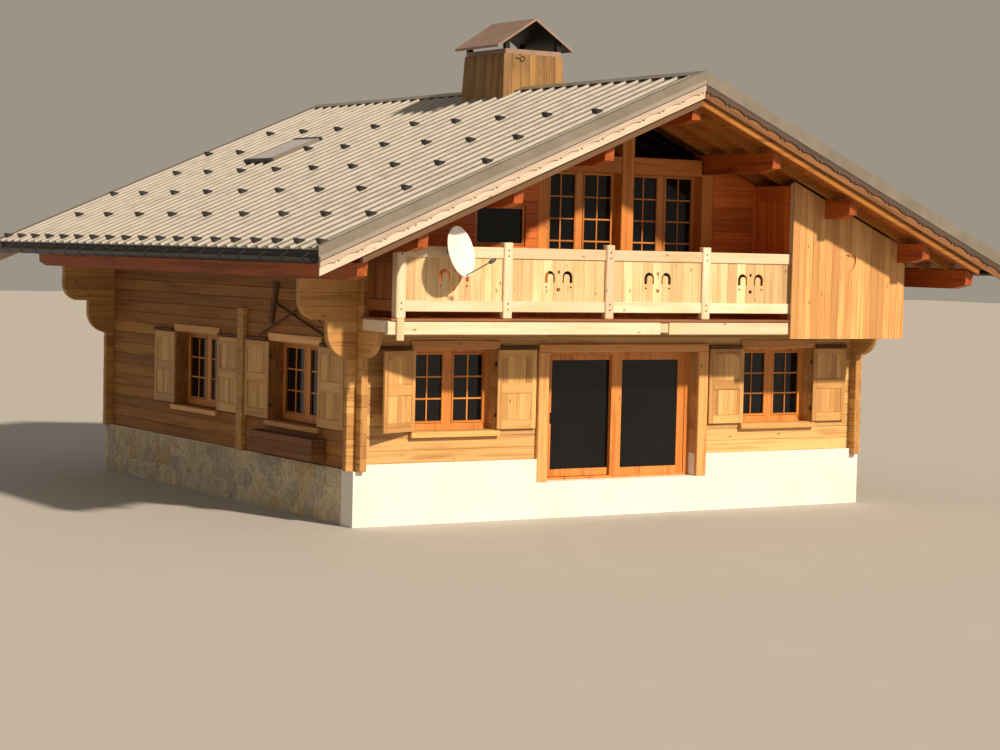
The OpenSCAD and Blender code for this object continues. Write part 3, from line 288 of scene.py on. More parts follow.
def mottled(name, low, high, size, rough, relief_m, **shader_values):
    """Plaster, coated metal, forged iron or glass: fine mottling of that size in metres over broad
    stains. The relief is half a millimetre or less on sheet and glass, 1 mm on forged iron and
    several millimetres on plaster."""
    material, tree, shader = new_material(name, Roughness=rough, **shader_values)
    where = add(tree, "ShaderNodeTexCoord").outputs["Object"]
    fine = add(tree, "ShaderNodeTexNoise", {"Vector": where, "Scale": 1 / size,
               "Detail": 6.0}).outputs[0]
    broad = add(tree, "ShaderNodeTexNoise", {"Vector": where, "Scale": 0.9,
                "Detail": 3.0}).outputs[0]
    total = add(tree, "ShaderNodeMath", {0: fine, 1: broad}, operation="ADD").outputs[0]
    share = add(tree, "ShaderNodeMapRange", {"Value": total, "From Min": 0.7,
                "From Max": 1.3}).outputs[0]
    colour = add(tree, "ShaderNodeValToRGB", {"Fac": share}, [(0.0, low), (1.0, high)]).outputs[0]
    finish_shader(tree, shader, colour, fine, 0.6, relief_m)
    return material


def ribbed_sheet(name, pan, rib, streak):
    """Coil-coated steel: the ribs are painted pale as a painted highlight, the pans are painted
    darker from 30 mm off each rib's middle as painted shade, and streaks run down them."""
    material, tree, shader = new_material(name, Roughness=0.55, Metallic=0.15)
    where = add(tree, "ShaderNodeTexCoord").outputs["Object"]
    y = add(tree, "ShaderNodeSeparateXYZ", {"Vector": where}).outputs["Y"]
    past = add(tree, "ShaderNodeMath", {0: y, 1: RIB_START}, operation="SUBTRACT").outputs[0]
    from_rib = add(tree, "ShaderNodeMath", {0: past, 1: RIB_GAP / 2},
                   operation="PINGPONG").outputs[0]
    pan_painted_shade = add(tree, "ShaderNodeMapRange", {"Value": from_rib, "From Min": 0.03,
               "From Max": 0.075}).outputs[0]
    runs = add(tree, "ShaderNodeTexNoise", {"Vector": place(tree, "x", (0.35, 9.0)), "Scale": 1.0,
               "Detail": 4.0}).outputs[0]
    runs = add(tree, "ShaderNodeMapRange", {"Value": runs, "From Min": 0.45, "From Max": 0.75,
               "To Max": 0.55}).outputs[0]
    base = add(tree, "ShaderNodeMix", {0: pan_painted_shade, 6: linear(rib), 7: linear(pan)}, data_type="RGBA")
    colour = add(tree, "ShaderNodeMix", {0: runs, 6: base.outputs[2], 7: linear(streak)},
                 data_type="RGBA").outputs[2]
    fine = add(tree, "ShaderNodeTexNoise", {"Vector": where, "Scale": 40.0,
               "Detail": 3.0}).outputs[0]
    finish_shader(tree, shader, colour, fine, 0.3, 0.0005)
    return material


def darken(material, mask, code):
    """Mixes a colour into a finished material where the mask is 1."""
    tree = material.node_tree
    shader = next(n for n in tree.nodes if n.type == "BSDF_PRINCIPLED")
    plain = shader.inputs["Base Color"].links[0].from_socket
    colour = add(tree, "ShaderNodeMix", {0: mask, 6: plain, 7: linear(code)},
                 data_type="RGBA").outputs[2]
    tree.links.new(colour, shader.inputs["Base Color"])
    return material


def rafters_painted_shade(name, pale, dark, verge):
    """Oiled spruce, with painted shade: dull brown on the outer rafters of the left slope."""
    outer_y = -VERGE_Y - 0.17
    material = softwood(name, pale, dark, "x")
    tree = material.node_tree
    where = add(tree, "ShaderNodeTexCoord").outputs["Object"]
    at = add(tree, "ShaderNodeSeparateXYZ", {"Vector": where}).outputs
    out = add(tree, "ShaderNodeMath", {0: at["Y"]}, operation="ABSOLUTE").outputs[0]
    outer = add(tree, "ShaderNodeMath", {0: out, 1: outer_y}, operation="GREATER_THAN").outputs[0]
    left = add(tree, "ShaderNodeMath", {0: at["X"], 1: 0.0}, operation="LESS_THAN").outputs[0]
    mask = add(tree, "ShaderNodeMath", {0: outer, 1: left}, operation="MULTIPLY").outputs[0]
    return darken(material, mask, verge)


def cap_with_soot_and_painted_shade(name, low, high, soot_and_shade):
    """Brown coil-coated steel, black under the chimney's little roof: soot, and painted shade."""
    material = mottled(name, low, high, 0.2, 0.5, 0.0005, Metallic=0.2)
    tree = material.node_tree
    where = add(tree, "ShaderNodeTexCoord").outputs["Object"]
    at = add(tree, "ShaderNodeSeparateXYZ", {"Vector": where}).outputs
    aside = add(tree, "ShaderNodeMath", {0: at["X"], 1: CHIMNEY_X}, operation="SUBTRACT").outputs[0]
    aside = add(tree, "ShaderNodeMath", {0: aside}, operation="ABSOLUTE").outputs[0]
    roof_z = add(tree, "ShaderNodeMath", {0: aside, 1: -CAP_RISE, 2: CAP_PEAK_Z},
                 operation="MULTIPLY_ADD").outputs[0]
    under = add(tree, "ShaderNodeMath", {0: at["Z"], 1: roof_z}, operation="LESS_THAN").outputs[0]
    over = add(tree, "ShaderNodeMath", {0: at["Z"], 1: CAP_BEAM_TOP},
               operation="GREATER_THAN").outputs[0]
    inside = add(tree, "ShaderNodeMath", {0: under, 1: over}, operation="MULTIPLY").outputs[0]
    return darken(material, inside, soot_and_shade)


def rubble_stone(name):
    """Split gneiss and limestone: each stone its own grey, ochre or brown, with a rough face."""
    material, tree, shader = new_material(name, Roughness=0.85)
    where = add(tree, "ShaderNodeTexCoord").outputs["Object"]
    tone = add(tree, "ShaderNodeAttribute", attribute_name="tone").outputs["Fac"]
    body = add(tree, "ShaderNodeValToRGB", {"Fac": tone}, [(0.0, "#b5ac9e"), (0.25, "#d6c8a8"),
               (0.5, "#bfb6a8"), (0.75, "#decfad"), (1.0, "#c9b088")]).outputs[0]
    grit = add(tree, "ShaderNodeTexNoise", {"Vector": where, "Scale": 30.0,
               "Detail": 6.0}).outputs[0]
    layers = add(tree, "ShaderNodeTexNoise", {"Vector": where, "Scale": 6.0, "Detail": 4.0,
                 "Distortion": 1.5}).outputs[0]
    shade = add(tree, "ShaderNodeValToRGB", {"Fac": layers}, [(0.3, "#b9b2a8"), (0.7, "#ffffff")])
    colour = add(tree, "ShaderNodeMix", {0: 0.8, 6: body, 7: shade.outputs[0]}, data_type="RGBA",
                 blend_type="MULTIPLY").outputs[2]
    finish_shader(tree, shader, colour, grit, 0.7, 0.012)
    return material


# Oiled spruce: honey orange and half matt. The copies for the log ends, the side and back walls and
# the gable under the roof are painted deeper and redder: painted shade.
LOGS = softwood("oiled_spruce_logs", "#deba7e", "#bd8b4b")
LOG_ENDS = softwood("oiled_spruce_log_ends_painted_shade", "#d6a866", "#ab7b40")
SIDE_LOGS = softwood("spruce_logs_painted_shade", "#b5803f", "#8a5c2b", rough=0.7)
GABLE_LOGS = softwood("oiled_spruce_gable_painted_shade", "#de7a2e", "#b4581b")
BEAMS = softwood("oiled_spruce_posts", "#d6883c", "#a6602a")
BEAM_Y = softwood("oiled_spruce_purlins", "#ba5f20", "#883c0e", "y")
BEAM_X = rafters_painted_shade("oiled_spruce_rafters", "#b07428", "#804f17", "#664a30")
SOFFIT = softwood("spruce_soffit_boards", "#bd6c26", "#8c4b17", "y")
DECK_SIDE = softwood("spruce_deck_edge", "#a5692f", "#70431c", "y")
FLOOR = softwood("spruce_floor_boards", "#b98e58", "#8f683a", "y")

# Sun-bleached larch: nearly cream, with grey or tan stains where rain stands. The left slope's
# verge boards are painted paler still: painted sunlight.
PALE = softwood("bleached_larch_boards", "#f3deb2", "#dab983", stain="#cda672")
RAIL_WOOD = softwood("sun_bleached_larch_rails", "#faf0da", "#e9d6b2", stain="#d9bd92")
ROOM_BOARDS = softwood("golden_larch_boards", "#f0bf7e", "#d09850", stain="#c08c58")
PAINTED_LIT_VERGE = softwood("larch_verge_painted_sunlit", "#ece4de", "#c2b0a4", rough=0.75, stain="#a6938c")
PAINTED_LIT_VERGE_PLAIN = softwood("larch_verge_painted_sunlit_plain", "#f8f0e8", "#e0d2c2", rough=0.75)

# Weathered larch: brown to grey-brown and quite matt. The balcony's end panel, the drip boards and
# the right slope's verge boards are painted darker: painted shade.
END_PANEL_WOOD = softwood("larch_end_panel_painted_shade", "#a3652f", "#744420", rough=0.7)
NOSING = softwood("weathered_larch_deck", "#a9744a", "#7c4f31")
DRIP_WOOD = softwood("dark_larch_drip_boards", "#5e3a22", "#3d2414", rough=0.7)
CHIMNEY_CORE = softwood("sooty_larch_core", "#54402c", "#35261a", "z", rough=0.8)
CHIMNEY_WOOD = softwood("weathered_larch_chimney", "#a9844e", "#74552e", rough=0.75,
                        stain="#66523a")
PAINTED_SHADE_VERGE = softwood("larch_verge_painted_shade", "#66564d", "#43372f", rough=0.8, stain="#51433c")
PAINTED_SHADE_VERGE_PLAIN = softwood("larch_verge_plain_painted_shade", "#a3744a", "#6b4626", rough=0.75,
                        stain="#7a5232")
BOX_WOOD = softwood("stained_larch_box", "#8a5a30", "#5d391c", rough=0.6)
OLD_WOOD = softwood("dry_ash_tools", "#5a3a22", "#33200f", "z", rough=0.8)

# Varnished or newly oiled joinery: warm, even, with a soft sheen
FRAME_WOOD = softwood("varnished_spruce_frames", "#e69a50", "#bd7634", "z", rough=0.4)
JOINERY = softwood("varnished_spruce_joinery", "#dc9446", "#b56c28", rough=0.42)
SHUTTER_WOOD = softwood("oiled_pine_shutters", "#dfb475", "#bd8b4a", rough=0.5)
TRIM_WOOD = softwood("oiled_larch_casings", "#eab472", "#cc9050", rough=0.5)

# Stone and plaster: matt, with a relief that the light picks out
STONE = rubble_stone("split_gneiss")
RENDER = mottled("lime_render", "#dbd8d0", "#f4f2ee", 0.02, 0.9, 0.004)
MORTAR = mottled("lime_mortar", "#c4bcac", "#e3dbcb", 0.03, 0.95, 0.006)

# Coil-coated or powder-coated steel: even, half matt, with a faint dull stain
ROOF_METAL = ribbed_sheet("coil_coated_steel_sheet", "#939089", "#aaa6a1", "#7f7b76")
FLASHING = mottled("coated_steel_flashing", "#777167", "#89837a", 0.3, 0.45, 0.0005,
                   Metallic=0.25)
# The left slope's drip edges are lighter than the flashing: a painted highlight.
PAINTED_LIT_DRIP_METAL = mottled("coated_steel_drip_edge_painted_light", "#8f887e", "#a09990", 0.3, 0.45, 0.0005,
                     Metallic=0.25)
DARK_METAL = mottled("black_coated_steel", "#232427", "#393b3f", 0.05, 0.4, 0.0005, Metallic=0.4)
GUTTER_METAL = mottled("dark_coated_gutter", "#222220", "#31302e", 0.1, 0.4, 0.0005, Metallic=0.4)
CAP_METAL = cap_with_soot_and_painted_shade("brown_coated_steel", "#8a7266", "#a38879", "#100e0d")
DISH_PAINT = mottled("white_powder_coat", "#e8e8e8", "#fafafa", 0.2, 0.35, 0.0003)

# Forged iron is black with a soft gleam, and zinc coating is grey and brighter
IRON = mottled("black_forged_iron", "#111112", "#26262a", 0.01, 0.5, 0.001, Metallic=0.8)
ZINC = mottled("zinc_coated_bracket", "#6f7377", "#8d9296", 0.02, 0.4, 0.0005, Metallic=0.9)

# Float glass: nearly black as painted shade of the dark rooms behind, and pale on the roof window
# as a painted reflection of the sky
GLASS = mottled("window_glass", "#07080a", "#0f1216", 0.8, 0.04, 0.0006, Specular_IOR_Level=0.3)
SKY_GLASS = mottled("skylight_glass_painted_sky_reflection", "#c3c2c9", "#d6d4da", 0.8, 0.12, 0.0004, Metallic=0.25)


# Outlines and meshes

def add_object(name, data):
    """An object at the origin, linked to the scene."""
    made = bpy.data.objects.new(name, data)
    bpy.context.scene.collection.objects.link(made)
    return made


def evaluated_mesh(thing):
    """An object's mesh as its modifier leaves it."""
    depsgraph = bpy.context.evaluated_depsgraph_get()
    return bpy.data.meshes.new_from_object(thing.evaluated_get(depsgraph))


def clip(outline, a, b, limit):
    """The part of an outline where a * x + b * z stays under the limit."""
    kept = []
    for p, q in zip(outline, outline[1:] + outline[:1]):
        dp, dq = (a * v[0] + b * v[1] - limit for v in (p, q))
        if dp <= 0:
            kept.append(p)
        if dp * dq < 0:
            t = dp / (dp - dq)
            kept.append((p[0] + t * (q[0] - p[0]), p[1] + t * (q[1] - p[1])))
    return kept


def rectangle(x0, x1, z0, z1):
    """A rectangle's outline."""
    return [(x0, z0), (x1, z0), (x1, z1), (x0, z1)]


def circle(x, z, radius, count=32, start=0.0, sweep=360.0):
    """Points of an arc or a whole circle in x and z, its angles in degrees."""
    steps = count if sweep >= 360 else count + 1
    angles = [math.radians(start + sweep * k / count) for k in range(steps)]
    return [(x + radius * math.cos(a), z + radius * math.sin(a)) for a in angles]


def shrink(outline, by):
    """An outline in x and z with all its edges moved inwards by a small distance."""
    n = len(outline)
    area = sum(p[0] * q[1] - q[0] * p[1] for p, q in zip(outline, outline[1:] + outline[:1]))
    turn = 1 if area > 0 else -1
    moved = []
    for i, (x, z) in enumerate(outline):
        before, after = outline[i - 1], outline[(i + 1) % n]
        a = Vector((before[1] - z, x - before[0])).normalized() * turn
        b = Vector((z - after[1], after[0] - x)).normalized() * turn
        m = (a + b).normalized()
        reach = by / max(m.dot(a), 0.5)
        moved.append((x + m.x * reach, z + m.y * reach))
    return moved


def normal(corners):
    """The unit normal of a flat face from its corners."""
    n = len(corners)
    turn = sum((corners[i].cross(corners[(i + 1) % n]) for i in range(n)), Vector())
    return turn.normalized()


# Sawn ends soak up more oil, so they are darker than the faces
END_TONE = 0.35


class Timber:
    """Gathers the boards, rods and turned shapes of one piece. Each has its own stretch of grain
    and its own tone, drawn from the piece's fixed seed."""

    def __init__(self, seed):
        self.mesh = bmesh.new()
        self.grain = self.mesh.loops.layers.uv.new("grain")
        self.tone = self.mesh.faces.layers.float.new("tone")
        self.random = random.Random(seed)

    def look(self):
        """A new board's tone and the start of its grain."""
        return self.random.random(), self.random.uniform(0, 40), self.random.uniform(0, 40)

    def faces(self, points, loops, axis=0, frame=WORLD, look=None):
        """Adds faces over local points; axis 0, 1 or 2 is the grain's direction."""
        tone, u0, v0 = look or self.look()
        others = [a for a in (0, 1, 2) if a != axis]
        verts = [self.mesh.verts.new(frame @ Vector(p)) for p in points]
        for loop in loops:
            face = self.mesh.faces.new([verts[i] for i in loop])
            lean = [abs(c) for c in normal([Vector(points[i]) for i in loop])]
            across = others[0] if lean[others[0]] < lean[others[1]] else others[1]
            end_grain = lean[axis] > 0.8
            face[self.tone] = tone * (END_TONE if end_grain else 1)
            for corner, i in zip(face.loops, loop):
                p = points[i]
                along = 0.2 * p[others[1]] if end_grain else p[axis]
                corner[self.grain].uv = (u0 + along, v0 + p[others[0] if end_grain else across])

    def board(self, low, high, axis=0, chamfer=0.004, frame=WORLD, look=None):
        """A board from its lowest and highest corners, with every edge eased."""
        c = min([chamfer] + [(h - l) * 0.45 for l, h in zip(low, high)])
        corners = [(sx, sy, sz) for sx in (0, 1) for sy in (0, 1) for sz in (0, 1)]
        points, number = [], {}
        for signs in corners:
            outer = [high[a] if signs[a] else low[a] for a in range(3)]
            for a in range(3):
                number[signs, a] = len(points)
                points.append([outer[b] if b == a else outer[b] + (-c if signs[b] else c)
                               for b in range(3)])

        def corner(a, s, t, u):
            """The corner at end s of axis a, and at ends t and u of the other two axes."""
            signs = [t, u]
            signs.insert(a, s)
            return tuple(signs)

        loops = []
        for a in range(3):
            b, d = [k for k in range(3) if k != a]
            for s in (0, 1):
                loops.append([number[corner(a, s, t, u), a]
                              for t, u in ((0, 0), (1, 0), (1, 1), (0, 1))])
            for t in (0, 1):
                for u in (0, 1):
                    near, far = corner(a, 0, t, u), corner(a, 1, t, u)
                    loops.append([number[near, b], number[far, b], number[far, d], number[near, d]])
        loops += [[number[signs, a] for a in range(3)] for signs in corners]
        self.faces(points, loops, axis, frame, look)

    def log(self, ends, z0, z1, depth, frame, ease, look):
        """A log of a wall, from ends(z) = (low, high) along x; its lower and upper outer edges are
        eased by the two numbers of ease."""
        profile = [(0, z0 + ease[0]), (ease[0], z0), (depth, z0), (depth, z1),
                   (ease[1], z1), (0, z1 - ease[1])]
        low = [(ends(z)[0], d, z) for d, z in profile]
        high = [(ends(z)[1], d, z) for d, z in profile]
        n = len(profile)
        loops = [[i, (i + 1) % n, n + (i + 1) % n, n + i] for i in range(n)]
        loops += [list(range(n)), [n + i for i in range(n)]]
        self.faces(low + high, loops, 0, frame, look)

    def prism(self, outline, y0, y1, axis=0, frame=WORLD, look=None, ease=0.0):
        """An outline in x and z, extruded from y0 to y1, with the edges of both ends eased."""
        rings = [(outline, y0), (outline, y1)]
        if ease:
            inner = shrink(outline, ease)
            rings = [(inner, y0), (outline, y0 + ease), (outline, y1 - ease), (inner, y1)]
        n, last = len(outline), len(rings) - 1
        points = [(x, y, z) for ring, y in rings for x, z in ring]
        loops = [[r * n + i, r * n + (i + 1) % n, (r + 1) * n + (i + 1) % n, (r + 1) * n + i]
                 for r in range(last) for i in range(n)]
        loops += [list(range(n)), [last * n + i for i in range(n)]]
        self.faces(points, loops, axis, frame, look)

    def lathe(self, profile, sides, frame=WORLD):
        """A closed profile of radii and heights, turned about z; it starts and ends on the axis."""
        rings = []
        points = []
        for radius, z in profile:
            count = sides if radius > 1e-6 else 1
            rings.append((len(points), count))
            for k in range(count):
                angle = 2 * math.pi * k / sides
                points.append((radius * math.cos(angle), radius * math.sin(angle), z))
        loops = []
        for (a, many), (b, others) in zip(rings, rings[1:]):
            for k in range(sides):
                ring = [a + k % many, a + (k + 1) % many, b + (k + 1) % others, b + k % others]
                loops.append(list(dict.fromkeys(ring)))
        self.faces(points, loops, 2, frame)

    def rod(self, path, radius, sides=12, frame=WORLD, look=None):
        """A round rod along a path of points, closed at both ends; radius may differ along it."""
        path = [Vector(p) for p in path]
        radii = radius if isinstance(radius, (list, tuple)) else [radius] * len(path)
        side = None
        points = []
        for i, p in enumerate(path):
            along = (path[min(i + 1, len(path) - 1)] - path[max(i - 1, 0)]).normalized()
            if side is None:
                side = along.orthogonal().normalized()
            side = (side - along * side.dot(along)).normalized()
            up = along.cross(side)
            for k in range(sides):
                angle = 2 * math.pi * k / sides
                points.append(p + radii[i] * (math.cos(angle) * side + math.sin(angle) * up))
        loops = [[i * sides + k, i * sides + (k + 1) % sides,
                  (i + 1) * sides + (k + 1) % sides, (i + 1) * sides + k]
                 for i in range(len(path) - 1) for k in range(sides)]
        loops += [list(range(sides)), [(len(path) - 1) * sides + k for k in range(sides)]]
        self.faces([tuple(p) for p in points], loops, 2, frame, look)

    def build(self, name, material, smooth=False):
        """The finished piece as a plain object at the origin."""
        bmesh.ops.recalc_face_normals(self.mesh, faces=self.mesh.faces)
        data = bpy.data.meshes.new(name)
        self.mesh.to_mesh(data)
        self.mesh.free()
        data.materials.append(material)
        if smooth:
            data.shade_smooth()
            data.set_sharp_from_angle(angle=math.radians(40))
        return add_object(name, data)


def row_of_boards(timber, low, high, row, count, gap, grain, ease=0.004, frame=WORLD):
    """Boards side by side that fill the box from low to high along axis row, gap off each edge."""
    step = (high[row] - low[row]) / count
    for k in range(count):
        a, b = list(low), list(high)
        a[row] = low[row] + k * step + gap
        b[row] = low[row] + (k + 1) * step - gap
        timber.board(a, b, grain, ease, frame)


def rim_of_boards(timber, frame, x0, x1, z0, z1, width, depths, ease):
    """Four boards round the outside of a rectangle, the upright ones over the full height."""
    for low, high, grain in (((x0 - width, z0 - width), (x0, z1 + width), 2),
                             ((x1, z0 - width), (x1 + width, z1 + width), 2),
                             ((x0, z0 - width), (x1, z0), 0), ((x0, z1), (x1, z1 + width), 0)):
        timber.board((low[0], depths[0], low[1]), (high[0], depths[1], high[1]), grain, ease, frame)


def settle(piece, body, slot, *nodes):
    """Ties a finished piece to its body and hides the nodes that it stands for. The slot is not
    used.
    """
    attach(piece, body)
    if nodes:
        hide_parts(*nodes)


def cut_through(piece, outlines, y0, y1):
    """Cuts outlines in x and z right through a piece, from y0 to y1."""
    knife = Timber(1)
    for outline in outlines:
        knife.prism(outline, y0, y1)
    cutter = knife.build("fretwork_cutter", PALE)
    modifier = piece.modifiers.new("fretwork", "BOOLEAN")
    modifier.operation = "DIFFERENCE"
    modifier.solver = "EXACT"
    modifier.object = cutter
    made = evaluated_mesh(piece)
    piece.modifiers.clear()
    piece.data = made
    bpy.data.objects.remove(cutter)


# Log walls and their crossed corners

def courses(z0, z1, base):
    """Heights of the log courses between z0 and z1, on lines that start at base. No course is
    under 30 mm high."""
    least = 0.03
    first = math.floor((z0 - base) / COURSE_H + 0.001)
    lines = [base + (first + i) * COURSE_H for i in range(int((z1 - z0) / COURSE_H) + 3)]
    return [z0] + [z for z in lines if z0 + least < z < z1 - least] + [z1]


LOG_EASE = 0.012


def log_wall(timber, frame, x0, x1, lines, holes=(), depth=WALL_T, limit=None):
    """Courses of logs, with the holes (x0, x1, z0, z1) left open; limit(z) narrows the ends."""
    for low, high in zip(lines, lines[1:]):
        look = timber.look()
        cuts = sorted({low, high} | {z for h in holes for z in h[2:] if low < z < high})
        for za, zb in zip(cuts, cuts[1:]):
            spans, start = [], x0
            for h in sorted(h for h in holes if h[2] < zb - 1e-6 and h[3] > za + 1e-6):
                spans.append((start, h[0]))
                start = h[1]
            spans.append((start, x1))
            ease = (LOG_EASE if za == low else 0.0, LOG_EASE if zb == high else 0.0)
            for a, b in spans:
                def ends(z, a=a, b=b):
                    reach = limit(z) if limit else math.inf
                    return max(a, -reach), min(b, reach)
                if ends(zb)[1] - ends(zb)[0] > 0.02:
                    timber.log(ends, za, zb, depth, frame, ease, look)


def window_at(x, w):
    """The opening of a low window round x, as (x0, x1, z0, z1)."""
    return (x - w / 2, x + w / 2, WINDOW_Z, WINDOW_Z + WINDOW_H)


def under_roof(z):
    """Half the width of a gable wall at height z."""
    return min(HALF_W - LOG_T, (RAFTER_SEAT_Z - z) / RISE)


def make_walls():
    """Log courses round both floors, and the thinner ones of the gables over them."""
    low = Timber(11)
    side = HALF_W - LOG_T
    lines = courses(PLINTH_FRONT_H, UPPER_FLOOR_Z, PLINTH_FRONT_H)
    for sign in (-1, 1):
        x0, x1 = sorted((sign * PATIO_X, sign * side))
        log_wall(low, FRONT, x0, x1, lines, [window_at(sign * WINDOW_X, WINDOW_W)])
    log_wall(low, FRONT, -PATIO_X, PATIO_X, courses(PATIO_HEAD_Z, UPPER_FLOOR_Z, PLINTH_FRONT_H))
    settle(low.build("front_logs", LOGS), "house", "log_wall",
           "wall_front_left", "wall_front_right", "wall_front_head")

    sides = Timber(12)
    lines = courses(PLINTH_SIDE_H, SIDE_WALL_Z, PLINTH_SIDE_H)
    for sign, wall in ((1, RIGHT), (-1, LEFT)):
        holes = [window_at(sign * y, SIDE_WINDOW_W) for y in (NEAR_WINDOW_Y, FAR_WINDOW_Y)]
        x0, x1 = sorted((sign * LOG_T, sign * (HOUSE_D - LOG_T)))
        log_wall(sides, wall, x0, x1, lines, holes)
    settle(sides.build("side_logs", SIDE_LOGS), "house", "log_wall", "wall_left", "wall_right")

    back = Timber(13)
    top = RAFTER_SEAT_Z - 0.02
    upper = [(x - UPPER_WINDOW_W / 2, x + UPPER_WINDOW_W / 2, UPPER_WINDOW_Z,
              UPPER_WINDOW_Z + UPPER_WINDOW_H) for x in (-PURLIN_GAP / 2, PURLIN_GAP / 2)]
    holes = [window_at(x, WINDOW_W) for x in (-WINDOW_X, WINDOW_X)] + upper
    log_wall(back, BACK, -side, side, courses(PLINTH_SIDE_H, top, PLINTH_FRONT_H), holes, LOG_T,
             under_roof)
    settle(back.build("back_logs", SIDE_LOGS), "house", "log_wall", "wall_back")

    gable = Timber(14)
    bay = PURLIN_GAP + GABLE_POST / 2
    holes = [(-bay, bay, UPPER_FLOOR_Z, RAFTER_SEAT_Z), GABLE_WINDOW]
    log_wall(gable, FRONT, -side, side, courses(UPPER_FLOOR_Z, top, PLINTH_FRONT_H), holes, LOG_T,
             under_roof)
    settle(gable.build("gable_logs", GABLE_LOGS), "house", "log_wall", "gable_boards")


def log_ends(timber, frame, lines, reach, thick, start=0.0, ease=0.009):
    """Stacked ends of logs, each sawn at its own reach(z) from the wall and eased all round."""
    for low, high in zip(lines, lines[1:]):
        trim = timber.random.uniform(0, 0.006)
        steps = [low + ease] + [low + (high - low) * k / 6 for k in range(1, 6)] + [high - ease]
        outer = [(reach(z) - trim, z) for z in steps]
        outline = [(start, low), (outer[0][0] - ease, low)] + outer
        outline += [(outer[-1][0] - ease, high), (start, high)]
        timber.prism(outline, 0, thick, frame=frame, ease=ease)


def rounded(reach, z_low, radius):
    """How far a corbel reaches at height z, with its lower outer corner rounded."""
    def at(z):
        drop = min(max(z_low + radius - z, 0), radius)
        return reach - radius + math.sqrt(radius ** 2 - drop ** 2)
    return at


EAR_Z = 2.64
EAR_STEP_Z = 3.25
EAR_TOP_Z = seat_z(EAVE_PURLIN_X) - PURLIN_H - 0.001
EAR_REACH = 0.53
EAR_ROUND = 0.40
EAR_STEP_REACH = EAVE_PURLIN_X - HALF_W + PURLIN_W / 2
EAR_STEP_ROUND = 0.30
CORBEL_Z = JOIST_Z - 0.42
CORBEL_REACH = 0.60
CORBEL_ROUND = 0.40
CORBEL_COURSE_H = 0.21
EAR_REST_Z = 4.10
PARTITION_END = 0.10


def make_corners():
    """Crossed log ends at the four corners, with the ears that carry the flying purlins."""
    ends = Timber(21)

    def plain(z):
        return LOG_END

    lower_ear = rounded(EAR_REACH, EAR_Z, EAR_ROUND)
    upper_ear = rounded(EAR_STEP_REACH, EAR_STEP_Z, EAR_STEP_ROUND)
    corbel = rounded(CORBEL_REACH, CORBEL_Z, CORBEL_ROUND)
    ear_lines = [EAR_Z + (EAR_STEP_Z - EAR_Z) * k / 3 for k in range(4)]
    step_lines = [EAR_STEP_Z + (EAR_TOP_Z - EAR_STEP_Z) * k / 3 for k in range(4)]
    side_lines = courses(PLINTH_SIDE_H, CORBEL_Z, PLINTH_SIDE_H)
    corbel_lines = [CORBEL_Z, CORBEL_Z + CORBEL_COURSE_H, JOIST_Z]
    upper_lines = courses(JOIST_Z, SIDE_WALL_Z, PLINTH_SIDE_H)
    for mirror in (WORLD, MIRROR_X):
        for end in (WORLD, Matrix.Translation((0, FRONT_Y + BACK_Y, 0)) @ MIRROR_Y):
            across = mirror @ end @ Matrix.Translation((HALF_W, FRONT_Y, 0))
            log_ends(ends, across, courses(PLINTH_SIDE_H, EAR_Z, PLINTH_FRONT_H), plain, LOG_T)
            log_ends(ends, across, ear_lines, lower_ear, LOG_T)
            log_ends(ends, across, step_lines, upper_ear, LOG_T)
            log_ends(ends, across, [EAR_TOP_Z, EAR_REST_Z, SIDE_WALL_Z], plain, LOG_T)
            along = mirror @ end @ wall_frame(HALF_W - LOG_T, FRONT_Y, -90)
            log_ends(ends, along, side_lines, plain, LOG_T, -LOG_T)
            front = end is WORLD
            log_ends(ends, along, corbel_lines, corbel if front else plain, LOG_T, -LOG_T)
            log_ends(ends, along, upper_lines, plain, LOG_T, -LOG_T)
        inside = mirror @ Matrix.Translation((HALF_W, FRONT_Y + PARTITION_Y, 0))
        log_ends(ends, inside, courses(PLINTH_SIDE_H, UPPER_FLOOR_Z, PLINTH_FRONT_H),
                 lambda z: PARTITION_END, PARTITION_W)
    settle(ends.build("crossed_log_ends", LOG_ENDS), "house", "log_ends", "log_corners")


def make_gable_frame():
    """Posts under the middle purlins and the tie boards between them."""
    frame_boards = Timber(22)
    depth, tie_h, tie_back = 0.30, 0.28, 0.012
    for x in (-PURLIN_GAP, 0, PURLIN_GAP):
        frame_boards.board((x - GABLE_POST / 2, 0, UPPER_FLOOR_Z),
                           (x + GABLE_POST / 2, depth, seat_z(x) - PURLIN_H), 2, 0.010, FRONT)
    for side in (-1, 1):
        x0, x1 = sorted((side * GABLE_POST / 2, side * (PURLIN_GAP - GABLE_POST / 2)))
        frame_boards.board((x0, tie_back, FRENCH_Z), (x1, depth, FRENCH_Z + tie_h), 0, 0.008, FRONT)
    settle(frame_boards.build("gable_posts", BEAMS), "house", "framing", "gable_frame")


def convex_cell(seed, others, box):
    """The part of the box (x0, x1, z0, z1) that lies nearer to seed than to the others."""
    cell = rectangle(*box)
    for other in others:
        limit = (other[0] ** 2 + other[1] ** 2 - seed[0] ** 2 - seed[1] ** 2) / 2
        cell = clip(cell, other[0] - seed[0], other[1] - seed[1], limit)
    return cell


